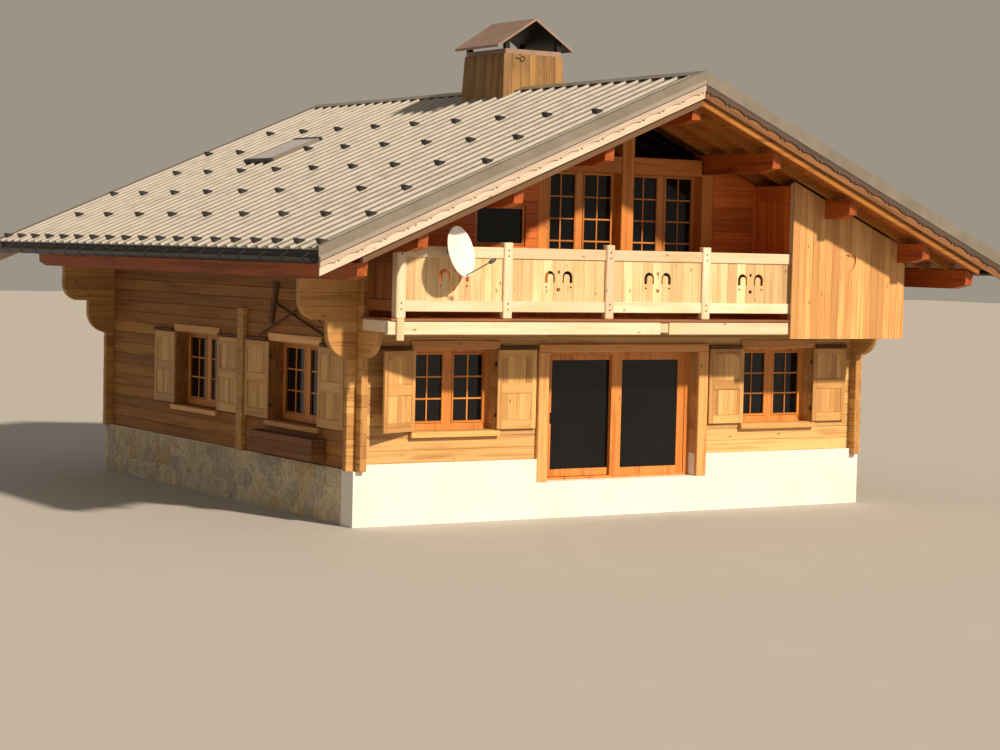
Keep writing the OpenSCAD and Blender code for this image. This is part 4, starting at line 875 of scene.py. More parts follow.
def lay_stones(timber, frame, length):
    """Split stones of the plinth from x = 0 to length, bedded in mortar with 20 mm joints. Each
    has a rim that is sunk in the mortar and a rough face whose edges are knocked off."""
    rows, spacing, joint, knocked = 3, 0.42, 0.020, 0.018
    columns = round(length / spacing)
    height = PLINTH_SIDE_H
    pick = timber.random
    seeds = {}
    for row in range(rows):
        for i in range(-1, columns + 1):
            x = (i + 0.5 + 0.5 * (row % 2)) * length / columns
            z = (row + 0.5) * height / rows
            seeds[row, i] = (x + pick.uniform(-0.13, 0.13), z + pick.uniform(-0.08, 0.08))
    for (row, i), seed in seeds.items():
        near = [seeds[r, k] for r in range(row - 2, row + 3) for k in range(i - 3, i + 4)
                if (r, k) in seeds and (r, k) != (row, i)]
        cell = convex_cell(seed, near, (0, length, 0, height))
        if len(cell) < 3:
            continue
        rim = shrink(cell, joint / 2)
        face = shrink(cell, joint / 2 + knocked)
        if max(p[0] for p in face) - min(p[0] for p in face) < 0.05:
            continue
        proud = pick.uniform(0.006, 0.013)
        n = len(cell)
        points = [(x, 0.004, z) for x, z in rim]
        points += [(x, -proud + 0.005, z) for x, z in rim]
        points += [(x, -proud - pick.uniform(-0.002, 0.002), z) for x, z in face]
        middle = (sum(p[0] for p in face) / n, -proud - pick.uniform(0.001, 0.009),
                  sum(p[1] for p in face) / n)
        points.append(middle)
        loops = [[ring * n + k, ring * n + (k + 1) % n, (ring + 1) * n + (k + 1) % n,
                  (ring + 1) * n + k] for ring in (0, 1) for k in range(n)]
        loops += [[2 * n + k, 2 * n + (k + 1) % n, 3 * n] for k in range(n)]
        loops.append(list(range(n)))
        timber.faces(points, loops, 0, frame)


def make_stones():
    """The stone plinth of the side and back walls; the front's is rendered."""
    stones = Timber(23)
    front_end, back_end = FRONT_Y + WALL_T, BACK_Y + PLINTH_PROUD
    edge = HALF_W + PLINTH_PROUD
    lay_stones(stones, wall_frame(-edge, back_end, -90), back_end - front_end)
    lay_stones(stones, wall_frame(edge, front_end, 90), back_end - front_end)
    lay_stones(stones, wall_frame(edge, back_end, 180), 2 * edge)
    settle(stones.build("plinth_stones", STONE), "house", "stone_facing")


# Windows, doors and shutters

BAR_W = 0.026
BEAD_W = 0.035
SASH_T = 0.07
GLASS_T = 0.024
# How deep the sashes stand in each wall
LOW_SASH_Y = 0.235
FRENCH_SASH_Y = 0.215
GABLE_SASH_Y = 0.03
# Widths of a sash's stiles, foot and head, and of both meeting stiles
SASH_WIDTHS = (0.12, 0.142, 0.096, 0.22)
FRENCH_SASH_WIDTHS = (0.08, 0.16, 0.045, 0.20)
GABLE_SASH_FRAME = 0.05
LOW_WINDOWS = [(FRONT, (-WINDOW_X, WINDOW_X), WINDOW_W),
               (BACK, (-WINDOW_X, WINDOW_X), WINDOW_W),
               (LEFT, (-NEAR_WINDOW_Y, -FAR_WINDOW_Y), SIDE_WINDOW_W),
               (RIGHT, (NEAR_WINDOW_Y, FAR_WINDOW_Y), SIDE_WINDOW_W)]


def leaf_width(w):
    """The width of one of the two shutter leaves of a window w wide."""
    return w / 2 - 1.5 * SHUTTER_GAP


def bars_in(timber, frame, x0, x1, z0, z1, columns, heights, y):
    """Bars in front of a pane: columns panes wide, with a bar at each of the heights. The level
    bars are 2 mm thinner, so that no two faces lie in one plane."""
    for k in range(1, columns):
        x = x0 + (x1 - x0) * k / columns
        timber.board((x - BAR_W / 2, y - 0.018, z0), (x + BAR_W / 2, y, z1), 2, 0.003, frame)
    for z in heights:
        timber.board((x0, y - 0.016, z - BAR_W / 2), (x1, y, z + BAR_W / 2), 0, 0.003, frame)


def sash_beads(timber, frame, x0, x1, z0, z1, y):
    """The raised edge of a sash round its pane, standing out of the frame's face at depth y."""
    rim_of_boards(timber, frame, x0, x1, z0, z1, BEAD_W, (y - 0.014, y + 0.02), 0.005)


def sash_pair(timber, frame, x, z, w, h, widths, y, columns, rows):
    """Beads and bars of a window with two sashes, from its lower left corner."""
    stile, foot, head, meeting = widths
    pane = (w - meeting) / 2 - stile
    z0, z1 = z + foot, z + h - head
    for x0 in (x + stile, x + w / 2 + meeting / 2):
        sash_beads(timber, frame, x0, x0 + pane, z0, z1, y)
        heights = [z0 + (z1 - z0) * k / rows for k in range(1, rows)]
        bars_in(timber, frame, x0, x0 + pane, z0, z1, columns, heights, y + (SASH_T - GLASS_T) / 2)


def make_window_bars():
    """Beads round every pane, and glazing bars two panes wide."""
    bars = Timber(31)
    for wall, centres, w in LOW_WINDOWS:
        for x in centres:
            sash_pair(bars, wall, x - w / 2, WINDOW_Z, w, WINDOW_H, SASH_WIDTHS, LOW_SASH_Y, 2, 3)
    for x in (-PURLIN_GAP + GABLE_POST / 2, GABLE_POST / 2):
        sash_pair(bars, FRONT, x, UPPER_FLOOR_Z, PURLIN_GAP - GABLE_POST, FRENCH_Z - UPPER_FLOOR_Z,
                  FRENCH_SASH_WIDTHS, FRENCH_SASH_Y, 2, 6)
    for x in (-PURLIN_GAP / 2, PURLIN_GAP / 2):
        sash_pair(bars, BACK, x - UPPER_WINDOW_W / 2, UPPER_WINDOW_Z, UPPER_WINDOW_W,
                  UPPER_WINDOW_H, SASH_WIDTHS, GABLE_SASH_Y, 2, 3)
    x0, x1, z0, z1 = GABLE_WINDOW
    sash_beads(bars, FRONT, x0 + GABLE_SASH_FRAME, x1 - GABLE_SASH_FRAME, z0 + GABLE_SASH_FRAME,
               z1 - GABLE_SASH_FRAME, GABLE_SASH_Y)
    settle(bars.build("window_bars", JOINERY), "house", "joinery")


def make_trims():
    """Lintel boards, drip boards over the open leaves, sills and the patio doorway's posts."""
    trims, drips = Timber(32), Timber(33)
    past, clear, lintel_h, drip_h, threshold_z = 0.06, 0.012, 0.13, 0.045, 0.60
    head = WINDOW_Z + WINDOW_H + clear
    for wall, centres, w in LOW_WINDOWS:
        leaf = leaf_width(w)
        for x in centres:
            x0, x1 = x - w / 2 - past, x + w / 2 + past
            trims.board((x0, -0.03, head), (x1, 0, head + lintel_h), 0, 0.006, wall)
            trims.board((x0, -0.09, WINDOW_Z - 0.10), (x1, 0, WINDOW_Z - clear), 0, 0.010, wall)
            # The drip boards over the open leaves are dark brown: painted shade of the band above
            # them.
            for start in (x - w / 2 - leaf, x1):
                drips.board((start, -0.075, head), (start + leaf - past, 0, head + drip_h),
                            0, 0.006, wall)
    edge = PATIO_X + CASING_W
    trims.board((-edge, -CASING_PROUD, PATIO_HEAD_Z), (edge, 0, PATIO_HEAD_Z + lintel_h),
                0, 0.010, FRONT)
    for x in (-edge, PATIO_X):
        trims.board((x, -CASING_PROUD, threshold_z), (x + CASING_W, 0, PATIO_HEAD_Z),
                    2, 0.010, FRONT)
    settle(trims.build("lintels_and_sills", TRIM_WOOD), "house", "joinery", "window_trims")
    settle(drips.build("drip_boards", DRIP_WOOD), "house", "joinery")


LEAF_STILE = 0.095
LEAF_FOOT = 0.155
LEAF_T = 0.04
LEAF_Y = 0.005
LEAF_BOARD = 0.11
LEAF_SUNK = 0.010
MIDDLE_RAIL = (0.45 * WINDOW_H, 0.58 * WINDOW_H)
ARCH_RISE = 0.060
EYE_R = 0.0133
EYE_H = 0.05
HINGE_OUT = 0.0145
EYE_ZS = (0.215, WINDOW_H - 0.265)


def panelled_leaf(timber, frame, w, start):
    """A shutter leaf from its hinge edge: stiles, three rails and boards sunk between them.
    The upper rail is cut to a flat arch."""
    z0, z1 = SHUTTER_GAP, WINDOW_H - SHUTTER_GAP
    a, b = LEAF_STILE, w - LEAF_STILE
    front, back = LEAF_Y, LEAF_Y + LEAF_T
    for low, high, grain in (((start, z0), (a, z1), 2), ((b, z0), (w, z1), 2),
                             ((a, z0), (b, LEAF_FOOT), 0),
                             ((a, MIDDLE_RAIL[0]), (b, MIDDLE_RAIL[1]), 0)):
        timber.board((low[0], front, low[1]), (high[0], back, high[1]), grain, 0.004, frame)
    crown = WINDOW_H - LEAF_STILE
    half = (b - a) / 2
    radius = (half ** 2 + ARCH_RISE ** 2) / (2 * ARCH_RISE)
    arch = []
    for k in range(17):
        x = half * (k / 8 - 1)
        arch.append((a + half + x, crown - radius + math.sqrt(radius ** 2 - x ** 2)))
    timber.prism([(b, z1), (a, z1)] + arch, front, back, frame=frame, ease=0.003)
    count = round((b - a) / LEAF_BOARD)
    for low, high in ((LEAF_FOOT, MIDDLE_RAIL[0]), (MIDDLE_RAIL[1], crown)):
        row_of_boards(timber, (a, front + LEAF_SUNK, low), (b, back - LEAF_SUNK, high), 0, count, 0,
                      2, 0.005, frame)


def hinge_eyes(timber, frame):
    """The wrought eyes that turn on the pintles, each with its strap let into the leaf's edge."""
    for z in EYE_ZS:
        timber.rod([(0, 0, z), (0, 0, z + EYE_H)], EYE_R, 20, frame)
        timber.board((0, LEAF_Y, z + 0.004), (0.05, EYE_R, z + EYE_H - 0.004), 0, 0.001, frame)


def leaf_frame(wall, x, side, turn):
    """The frame of a leaf hung at x, its hinge edge at the origin, turned open."""
    frame = wall @ Matrix.Translation((x + side * SHUTTER_GAP, -HINGE_OUT, WINDOW_Z))
    if side < 0:
        frame = frame @ MIRROR_X
    return frame @ Matrix.Rotation(math.radians(-turn), 4, "Z")


def make_shutters():
    """Six hinged leaves, drawn as they stand at rest, and the fixed ones of the unseen windows."""
    hung = [(FRONT, -WINDOW_X, WINDOW_W, 1, 160), (FRONT, -WINDOW_X, WINDOW_W, -1, 180),
            (FRONT, WINDOW_X, WINDOW_W, 1, 180), (FRONT, WINDOW_X, WINDOW_W, -1, 180),
            (LEFT, -NEAR_WINDOW_Y, SIDE_WINDOW_W, 1, 180),
            (LEFT, -NEAR_WINDOW_Y, SIDE_WINDOW_W, -1, 180)]
    for i, (wall, x, w, side, turn) in enumerate(hung):
        body = f"shutter_{i + 1}"
        frame_of_leaf = leaf_frame(wall, x - side * w / 2, side, turn)
        boards, irons = Timber(40 + i), Timber(50 + i)
        panelled_leaf(boards, frame_of_leaf, leaf_width(w), EYE_R)
        hinge_eyes(irons, frame_of_leaf)
        settle(boards.build(f"{body}_boards", SHUTTER_WOOD), body, "shutters", body)
        settle(irons.build(f"{body}_eyes", IRON), body, "iron")

    fixed = Timber(47)
    sets = [(LEFT, -FAR_WINDOW_Y, SIDE_WINDOW_W), (RIGHT, NEAR_WINDOW_Y, SIDE_WINDOW_W),
            (RIGHT, FAR_WINDOW_Y, SIDE_WINDOW_W), (BACK, -WINDOW_X, WINDOW_W),
            (BACK, WINDOW_X, WINDOW_W)]
    for wall, x, w in sets:
        leaf = leaf_width(w)
        for start in (x - w / 2 - leaf, x + w / 2):
            lean = wall @ Matrix.Translation((start, -LEAF_Y - LEAF_T, WINDOW_Z))
            panelled_leaf(fixed, lean, leaf, 0.0)
    settle(fixed.build("fixed_shutters", SHUTTER_WOOD), "house", "shutters",
           "shutters_hidden_sides")


# Balcony

def make_balcony_floor():
    """The long beam in two lengths that meet over the doorway, its joists and the deck."""
    beams = Timber(61)
    for x0, x1 in ((-HALF_W - 0.10, -0.085), (0.085, ROOM_EDGE + 0.04)):
        beams.board((x0, BALCONY_Y, BEAM_Z), (x1, BALCONY_Y + BEAM_T, BEAM_TOP), 0, 0.010)
    beams.board((-JOIST_W / 2, BALCONY_Y + 0.02, JOIST_Z), (JOIST_W / 2, FRONT_Y, BEAM_TOP),
                1, 0.008)
    for side in (-1, 1):
        for x, back_y in ((1.5 * POST_GAP, FRONT_Y), (HALF_W - JOIST_W / 2, BALCONY_END_Y)):
            x0, x1 = sorted((side * (x - JOIST_W / 2), side * (x + JOIST_W / 2)))
            beams.board((x0, BALCONY_Y + BEAM_T, JOIST_Z), (x1, back_y, BEAM_TOP), 1, 0.008)
    settle(beams.build("balcony_joists", RAIL_WOOD), "house", "balcony_wood", "balcony_beams")

    floor = Timber(62)
    left = -HALF_W - 0.06
    nose_y = BALCONY_Y - 0.025
    for x0, x1 in ((left, -WALL_X - CORNER_HALF_W), (-WALL_X + CORNER_HALF_W, ROOM_EDGE)):
        floor.board((x0, nose_y, BEAM_TOP), (x1, BALCONY_Y, DECK_TOP), 0, 0.006)
    row_of_boards(floor, (left, BALCONY_Y, BEAM_TOP), (ROOM_EDGE, BALCONY_END_Y, DECK_TOP), 1, 7,
                  0.002, 0)
    floor.board((-HALF_W + LOG_T, BALCONY_END_Y, BEAM_TOP), (HALF_W - LOG_T, FRONT_Y, DECK_TOP), 0)
    settle(floor.build("balcony_floor", NOSING), "house", "balcony_wood", "balcony_boards")


def make_balcony_posts():
    """Posts with the ends of the rails' pegs, the thick corner post and the room's post."""
    posts, pegs = Timber(63), Timber(64)
    rail_middles = (DECK_TOP + RAIL_FOOT + RAIL_H / 2, HANDRAIL_TOP - RAIL_H / 2)
    for i in range(4):
        x = -WALL_X + i * POST_GAP
        front = BALCONY_Y if i else BALCONY_Y - CORNER_PROUD
        top = HANDRAIL_TOP + 0.08 if i else SIDE_WALL_Z
        posts.board((x - POST_W / 2, front, DECK_TOP), (x + POST_W / 2, BALCONY_Y + POST_T, top),
                    2, 0.014)
        for z in rail_middles:
            for dz in (-0.045, 0.045):
                pegs.rod([(x, front + 0.02, z + dz), (x, front - 0.006, z + dz)], 0.013, 12)
    posts.board((-WALL_X - CORNER_HALF_W, BALCONY_Y - CORNER_PROUD, BEAM_Z - 0.09),
                (-WALL_X + CORNER_HALF_W, BALCONY_Y, DECK_TOP), 2, 0.012)
    x0, x1 = ROOM_X, ROOM_X + POST_W
    posts.prism([(x0, DECK_TOP), (x1, DECK_TOP), (x1, seat_z(x1)), (x0, seat_z(x0))],
                BALCONY_Y, BALCONY_Y + POST_T, 2, ease=0.010)
    settle(posts.build("balcony_post_set", RAIL_WOOD), "house", "balcony_wood", "balcony_posts")
    settle(pegs.build("post_pegs", DRIP_WOOD), "house", "balcony_wood")


def hook_outline(x, z, hand):
    """A horseshoe hook of the fretwork, thick on its outer side; hand is 1 or -1."""
    radius, hollow, aside, foot = 0.095, 0.055, -0.015, -0.095
    outer = circle(0, 0, radius, 32, 0, 180)
    inner = circle(aside, -0.010, hollow, 28, 180, -180)
    outline = outer + [(-radius, foot), (aside - hollow, foot)]
    outline += inner + [(aside + hollow, foot), (radius, foot)]
    return [(x + hand * px, z + pz) for px, pz in outline]


def heart(x, z, w, h):
    """A small heart standing on its point at (x, z)."""
    lobe = 0.27 * w
    side_r = (w * w / 4 + (h - lobe) ** 2) / w
    reach = math.degrees(math.asin((h - lobe) / side_r))
    right = circle(w / 2 - side_r, h - lobe, side_r, 12, -reach, reach)
    right += circle(w / 2 - lobe, h - lobe, lobe, 14, 10, 135)
    mirrored = [(-px, pz) for px, pz in reversed(right)]
    return [(x + px, z + pz) for px, pz in right + mirrored]


def fretwork_at(x, z):
    """Outlines that are cut through a panel round its middle: two hooks, two dots 36 mm wide, an
    upright slot and a heart 70 mm wide."""
    cuts = [hook_outline(x + hand * 0.17, z + 0.059, hand) for hand in (-1, 1)]
    cuts += [circle(x + hand * 0.235, z - 0.103, 0.018, 20) for hand in (-1, 1)]
    cuts.append(rectangle(x - 0.022, x + 0.022, z + 0.11, z + 0.16))
    cuts.append(heart(x, z - 0.178, 0.070, 0.064))
    return cuts


def make_balustrade():
    """Rails and pierced panels along the front, and the closed panel at the left end."""
    rails, panels, end = Timber(65), Timber(66), Timber(84)
    feet, handrail = DECK_TOP + RAIL_FOOT, HANDRAIL_TOP - RAIL_H
    low, middle_y = feet + RAIL_H, BALCONY_Y + RAIL_BACK + RAIL_T / 2
    cuts = []
    for x0, x1 in BAY_EDGES:
        for z in (feet, handrail):
            rails.board((x0, BALCONY_Y + RAIL_BACK, z),
                        (x1, BALCONY_Y + RAIL_BACK + RAIL_T, z + RAIL_H), 0, 0.008)
        row_of_boards(panels, (x0, middle_y - PANEL_T / 2, low),
                      (x1, middle_y + PANEL_T / 2, handrail), 0, round((x1 - x0) / PANEL_BOARD),
                      0.001, 2, 0.003)
        cuts += fretwork_at((x0 + x1) / 2, (low + handrail) / 2)
    settle(rails.build("balcony_rail_set", RAIL_WOOD), "house", "balcony_wood", "balcony_rails")

    top = SIDE_WALL_Z - RAIL_H
    for z in (feet, top):
        end.board((-WALL_X - RAIL_T / 2, BALCONY_Y + POST_T, z),
                  (-WALL_X + RAIL_T / 2, BALCONY_END_Y, z + RAIL_H), 1, 0.008)
    row_of_boards(end, (-WALL_X - PANEL_T / 2, BALCONY_Y + POST_T, low),
                  (-WALL_X + PANEL_T / 2, BALCONY_END_Y, top), 1, 6, 0.001, 2, 0.003)
    settle(end.build("balcony_end_panel", END_PANEL_WOOD), "house", "balcony_wood")
    piece = panels.build("fretwork_panels", PALE)
    cut_through(piece, cuts, BALCONY_Y - 0.05, BALCONY_Y + 0.15)
    settle(piece, "house", "balcony_wood", "balcony_panels")


ROOM_BOARD_T = 0.03
# The heart's point, width and height, and the board behind it as (x0, x1, z0, z1)
HEART = (3.855, 4.148, 0.26, 0.29)
HEART_BACKING = (3.66, 4.05, 4.10, 4.48)


def make_balcony_room():
    """The boarded room at the balcony's right end, with a heart cut through its front."""
    boards = Timber(67)
    front, foot_z = BALCONY_Y - 0.055, BEAM_Z - 0.07
    back = front + ROOM_BOARD_T
    pocket = 3 * PURLIN_GAP - PURLIN_W / 2
    x = ROOM_X - ROOM_LAP
    count = 16
    step = (pocket - x) / count
    for k in range(count):
        a, b = x + k * step + 0.001, x + (k + 1) * step - 0.001
        boards.prism([(a, foot_z), (b, foot_z), (b, seat_z(b)), (a, seat_z(a))], front, back, 2,
                     ease=0.004)
    boards.board((pocket, front, foot_z), (ROOM_EDGE, back, SIDE_WALL_Z), 2)
    row_of_boards(boards, (WALL_X, BALCONY_Y + BEAM_T, DECK_TOP),
                  (HALF_W, BALCONY_END_Y, SIDE_WALL_Z), 1, 6, 0.001, 2)
    piece = boards.build("room_boards", ROOM_BOARDS)
    cut_through(piece, [heart(*HEART)], front - 0.05, front + 0.08)
    settle(piece, "house", "balcony_wood", "balcony_room")
    backing = Timber(69)
    x0, x1, z0, z1 = HEART_BACKING
    backing.board((x0, back, z0), (x1, back + 0.012, z1), 2, 0.002)
    settle(backing.build("heart_backing_board", ROOM_BOARDS), "house", "balcony_wood")

    # The return wall and its door, a framed leaf with boards sunk between three rails
    door = Timber(68)
    outer, inner = ROOM_X, ROOM_X + 0.10
    leaf_x, stile, foot, sunk = ROOM_X + 0.035, 0.11, 0.20, 0.015
    y0, y1, head, top = BALCONY_Y + 0.285, BALCONY_Y + 1.085, DECK_TOP + 2.12, seat_z(inner)
    door.board((outer, BALCONY_Y + POST_T, DECK_TOP), (inner, y0, top), 2)
    door.board((outer, y1, DECK_TOP), (inner, FRONT_Y, top), 2)
    door.board((outer, y0, head), (inner, y1, top), 1)
    for a, b in ((y0, y0 + stile), (y1 - stile, y1)):
        door.board((leaf_x, a, DECK_TOP), (inner, b, head), 2)
    for low, high in ((DECK_TOP, DECK_TOP + foot), (DECK_TOP + 0.95, DECK_TOP + 1.07),
                      (head - stile, head)):
        door.board((leaf_x, y0 + stile, low), (inner, y1 - stile, high), 1)
    row_of_boards(door, (leaf_x + sunk, y0 + stile, DECK_TOP + foot),
                  (inner - sunk, y1 - stile, head - stile), 1, 5, 0, 2, 0.005)
    settle(door.build("room_door_boards", GABLE_LOGS), "house", "log_wall", "balcony_room_door")


# Roof

def repeat_tree():
    """A Geometry Nodes tree that sets a small piece out in rows: Count pieces down a row,
    an Offset apart, and Rows of them a Row Offset apart."""
    tree = bpy.data.node_groups.new("pieces_in_rows", "GeometryNodeTree")
    tree.interface.new_socket("Geometry", in_out="OUTPUT", socket_type="NodeSocketGeometry")
    names = {}
    for label, kind in (("Unit", "NodeSocketObject"), ("Count", "NodeSocketInt"),
                        ("Offset", "NodeSocketVector"), ("Rows", "NodeSocketInt"),
                        ("Row Offset", "NodeSocketVector"), ("Start", "NodeSocketVector"),
                        ("Finish", "NodeSocketMaterial")):
        names[label] = tree.interface.new_socket(label, in_out="INPUT", socket_type=kind).identifier
    given = add(tree, "NodeGroupInput").outputs
    starts = add(tree, "GeometryNodeMeshLine", {"Count": given["Rows"],
                 "Start Location": given["Start"], "Offset": given["Row Offset"]}).outputs[0]
    row = add(tree, "GeometryNodeMeshLine", {"Count": given["Count"], "Offset": given["Offset"]})
    rows = add(tree, "GeometryNodeInstanceOnPoints", {"Points": starts, "Instance": row.outputs[0]})
    points = add(tree, "GeometryNodeRealizeInstances", {"Geometry": rows.outputs[0]}).outputs[0]
    shape = add(tree, "GeometryNodeObjectInfo", {"Object": given["Unit"]}).outputs["Geometry"]
    copies = add(tree, "GeometryNodeInstanceOnPoints", {"Points": points, "Instance": shape})
    real = add(tree, "GeometryNodeRealizeInstances", {"Geometry": copies.outputs[0]}).outputs[0]
    dressed = add(tree, "GeometryNodeSetMaterial", {"Geometry": real, "Material": given["Finish"]})
    add(tree, "NodeGroupOutput", {"Geometry": dressed.outputs[0]})
    return tree, names


def repeat_in_rows(unit, sizes):
    """The mesh of a small piece set out in rows by the tree's named inputs; unit is used up."""
    tree, names = ROWS_TREE
    holder = add_object("rows", bpy.data.meshes.new("rows"))
    modifier = holder.modifiers.new("rows", "NODES")
    modifier.node_group = tree
    for label, value in dict(sizes, Unit=unit, Finish=unit.data.materials[0]).items():
        modifier[names[label]] = value
    made = evaluated_mesh(holder)
    bpy.data.objects.remove(holder)
    bpy.data.objects.remove(unit)
    return made


ROWS_TREE = repeat_tree()


def join(name, meshes):
    """One object out of several meshes."""
    whole = bmesh.new()
    for data in meshes:
        whole.from_mesh(data)
    made = bpy.data.meshes.new(name)
    whole.to_mesh(made)
    whole.free()
    made.materials.append(meshes[0].materials[0])
    return add_object(name, made)


def make_soffit():
    """Boards over the rafters, which show under the overhangs."""
    board_w, end_y = 0.125, -VERGE_Y - 0.05
    count = int((EAVE_PURLIN_X + PURLIN_W / 2 - 0.02) / (board_w * math.cos(SLOPE)))
    rows = []
    for side in (-1, 1):
        board = Timber(71 + side)
        tilt = Matrix.Rotation(side * SLOPE, 4, "Y")
        x0, x1 = sorted((0, side * board_w))
        board.board((x0, -end_y, -0.008), (x1, end_y, 0.010), 1, 0.005, tilt)
        step = (side * board_w * math.cos(SLOPE), 0, -board_w * math.sin(SLOPE))
        rows.append(repeat_in_rows(board.build("soffit_board", SOFFIT), {
            "Count": count, "Offset": step, "Rows": 1, "Start": (0, 0, DECK_Z - 0.004)}))
    settle(join("soffit_boards", rows), "house", "framing")


# Depths under the ribs' top, measured down the verge: the flashing's flange, its drip edge and
# hem, and the two boards under the flange
VERGE_H = 0.14
DRIP_H = 0.055
HEM_H = 0.012
SCALLOP_H = 0.17
BARGE_H = 0.26
BARGE_T = 0.028
SCALLOP_T = 0.022
DRIP_T = 0.0018
# Along the slope, past the ridge and the eave, before the ends are cut upright
UNCUT = (-0.3, 7.9)
SCALLOP_RUN = (-0.2, 7.67)
SCALLOP_COUNT = 19


def scallops(x0, x1, low, high, count):
    """A board's outline with flat arches along its lower edge and a round notch between them."""
    step = (x1 - x0) / count
    notch, point, rise = 0.024, 0.018, 0.034
    half = step / 2 - notch - point
    radius = (half ** 2 + rise ** 2) / (2 * rise)
    sweep = math.degrees(math.asin(half / radius))
    edge = [(x0, low + notch)] + circle(x0, low, notch, 6, 90, -90)[1:]
    for k in range(count):
        middle = x0 + (k + 0.5) * step
        edge += circle(middle, low + rise - radius, radius, 12, 90 + sweep, -2 * sweep)
        edge += circle(x0 + (k + 1) * step, low, notch, 12, 180, -180)
    cut = [p for p in edge if p[0] <= x1]
    return cut + [(x1, high), (x0, high)]


def make_bargeboards():
    """At each verge a scalloped board laid on a plain one, under the flashing's flange. Those on
    the left slope are painted pale as sunlit, and the right slope's are painted darker brown-grey
    as shade."""
    cos, sin = math.cos(SLOPE), math.sin(SLOPE)
    down = Matrix.Translation((0, 0, RIB_TOP_Z)) @ Matrix.Rotation(SLOPE, 4, "Y")

    def cut_ends(outline):
        """Cuts an outline upright at the ridge and 20 mm short of the eave."""
        return clip(clip(outline, -cos, -sin, -0.001), cos, sin, EAVE_X - 0.02)

    plain = cut_ends(rectangle(*UNCUT, -VERGE_H - BARGE_H, -0.05))
    scalloped = cut_ends(scallops(*SCALLOP_RUN, -VERGE_H - SCALLOP_H, -VERGE_H, SCALLOP_COUNT))
    for name, slope, plain_look, look in (("left", MIRROR_X, PAINTED_LIT_VERGE_PLAIN, PAINTED_LIT_VERGE),
                                          ("right", WORLD, PAINTED_SHADE_VERGE_PLAIN, PAINTED_SHADE_VERGE)):
        behind, before = Timber(90), Timber(91)
        for end in (WORLD, MIRROR_Y):
            behind.prism(plain, VERGE_Y, VERGE_Y + BARGE_T, 0, slope @ end @ down, ease=0.003)
            before.prism(scalloped, VERGE_Y - SCALLOP_T, VERGE_Y, 0, slope @ end @ down)
        settle(behind.build(f"{name}_plain_bargeboards", plain_look), "house", "grey_boards",
               "bargeboards")
        settle(before.build(f"{name}_scalloped_bargeboards", look), "house", "grey_boards",
               "bargeboards")

    # The flashing's drip edge: a return over the scalloped board, a face before it and a black hem
    # under it, which is the painted shadow line below the edge
    hems = Timber(93)
    foot, top, front = -VERGE_H - DRIP_H, 0.008 - VERGE_H, VERGE_Y - 0.0238
    back = front + DRIP_T
    for name, slope, look in (("left", MIRROR_X, PAINTED_LIT_DRIP_METAL), ("right", WORLD, FLASHING)):
        drips = Timber(92)
        for end in (WORLD, MIRROR_Y):
            for strip, z0, z1, y0, y1 in ((drips, foot, top, front, back),
                                          (drips, top - 0.002, top, back, VERGE_Y),
                                          (hems, foot - HEM_H, foot, front, back)):
                strip.prism(cut_ends(rectangle(*UNCUT, z0, z1)), y0, y1, 0, slope @ end @ down)
        settle(drips.build(f"{name}_drip_edges", look), "house", "flashing_metal")
    settle(hems.build("drip_hems", DARK_METAL), "house", "flashing_metal")


def make_roof_screws():
    """Screws with a sealing washer, every 0.6 m down each rib."""
    run, x, sides = 0.60, 0.42, 8
    screws = []
    for side in (-1, 1):
        head = Timber(73 + side)
        tilt = Matrix.Rotation(side * SLOPE, 4, "Y")
        head.rod([(0, 0, -0.001), (0, 0, 0.003), (0, 0, 0.004), (0, 0, 0.010)],
                 [0.012, 0.012, 0.007, 0.006], sides, tilt)
        count = int((EAVE_X / math.cos(SLOPE) - 0.9) / run)
        step = (side * run * math.cos(SLOPE), 0, -run * math.sin(SLOPE))
        screws.append(repeat_in_rows(head.build("roof_screw", ZINC), {
            "Count": count, "Offset": step, "Rows": RIB_COUNT + 1, "Row Offset": (0, RIB_GAP, 0),
            "Start": (side * x, RIB_START, RIB_TOP_Z - x * RISE)}))
    settle(join("roof_screws", screws), "house", "flashing_metal")


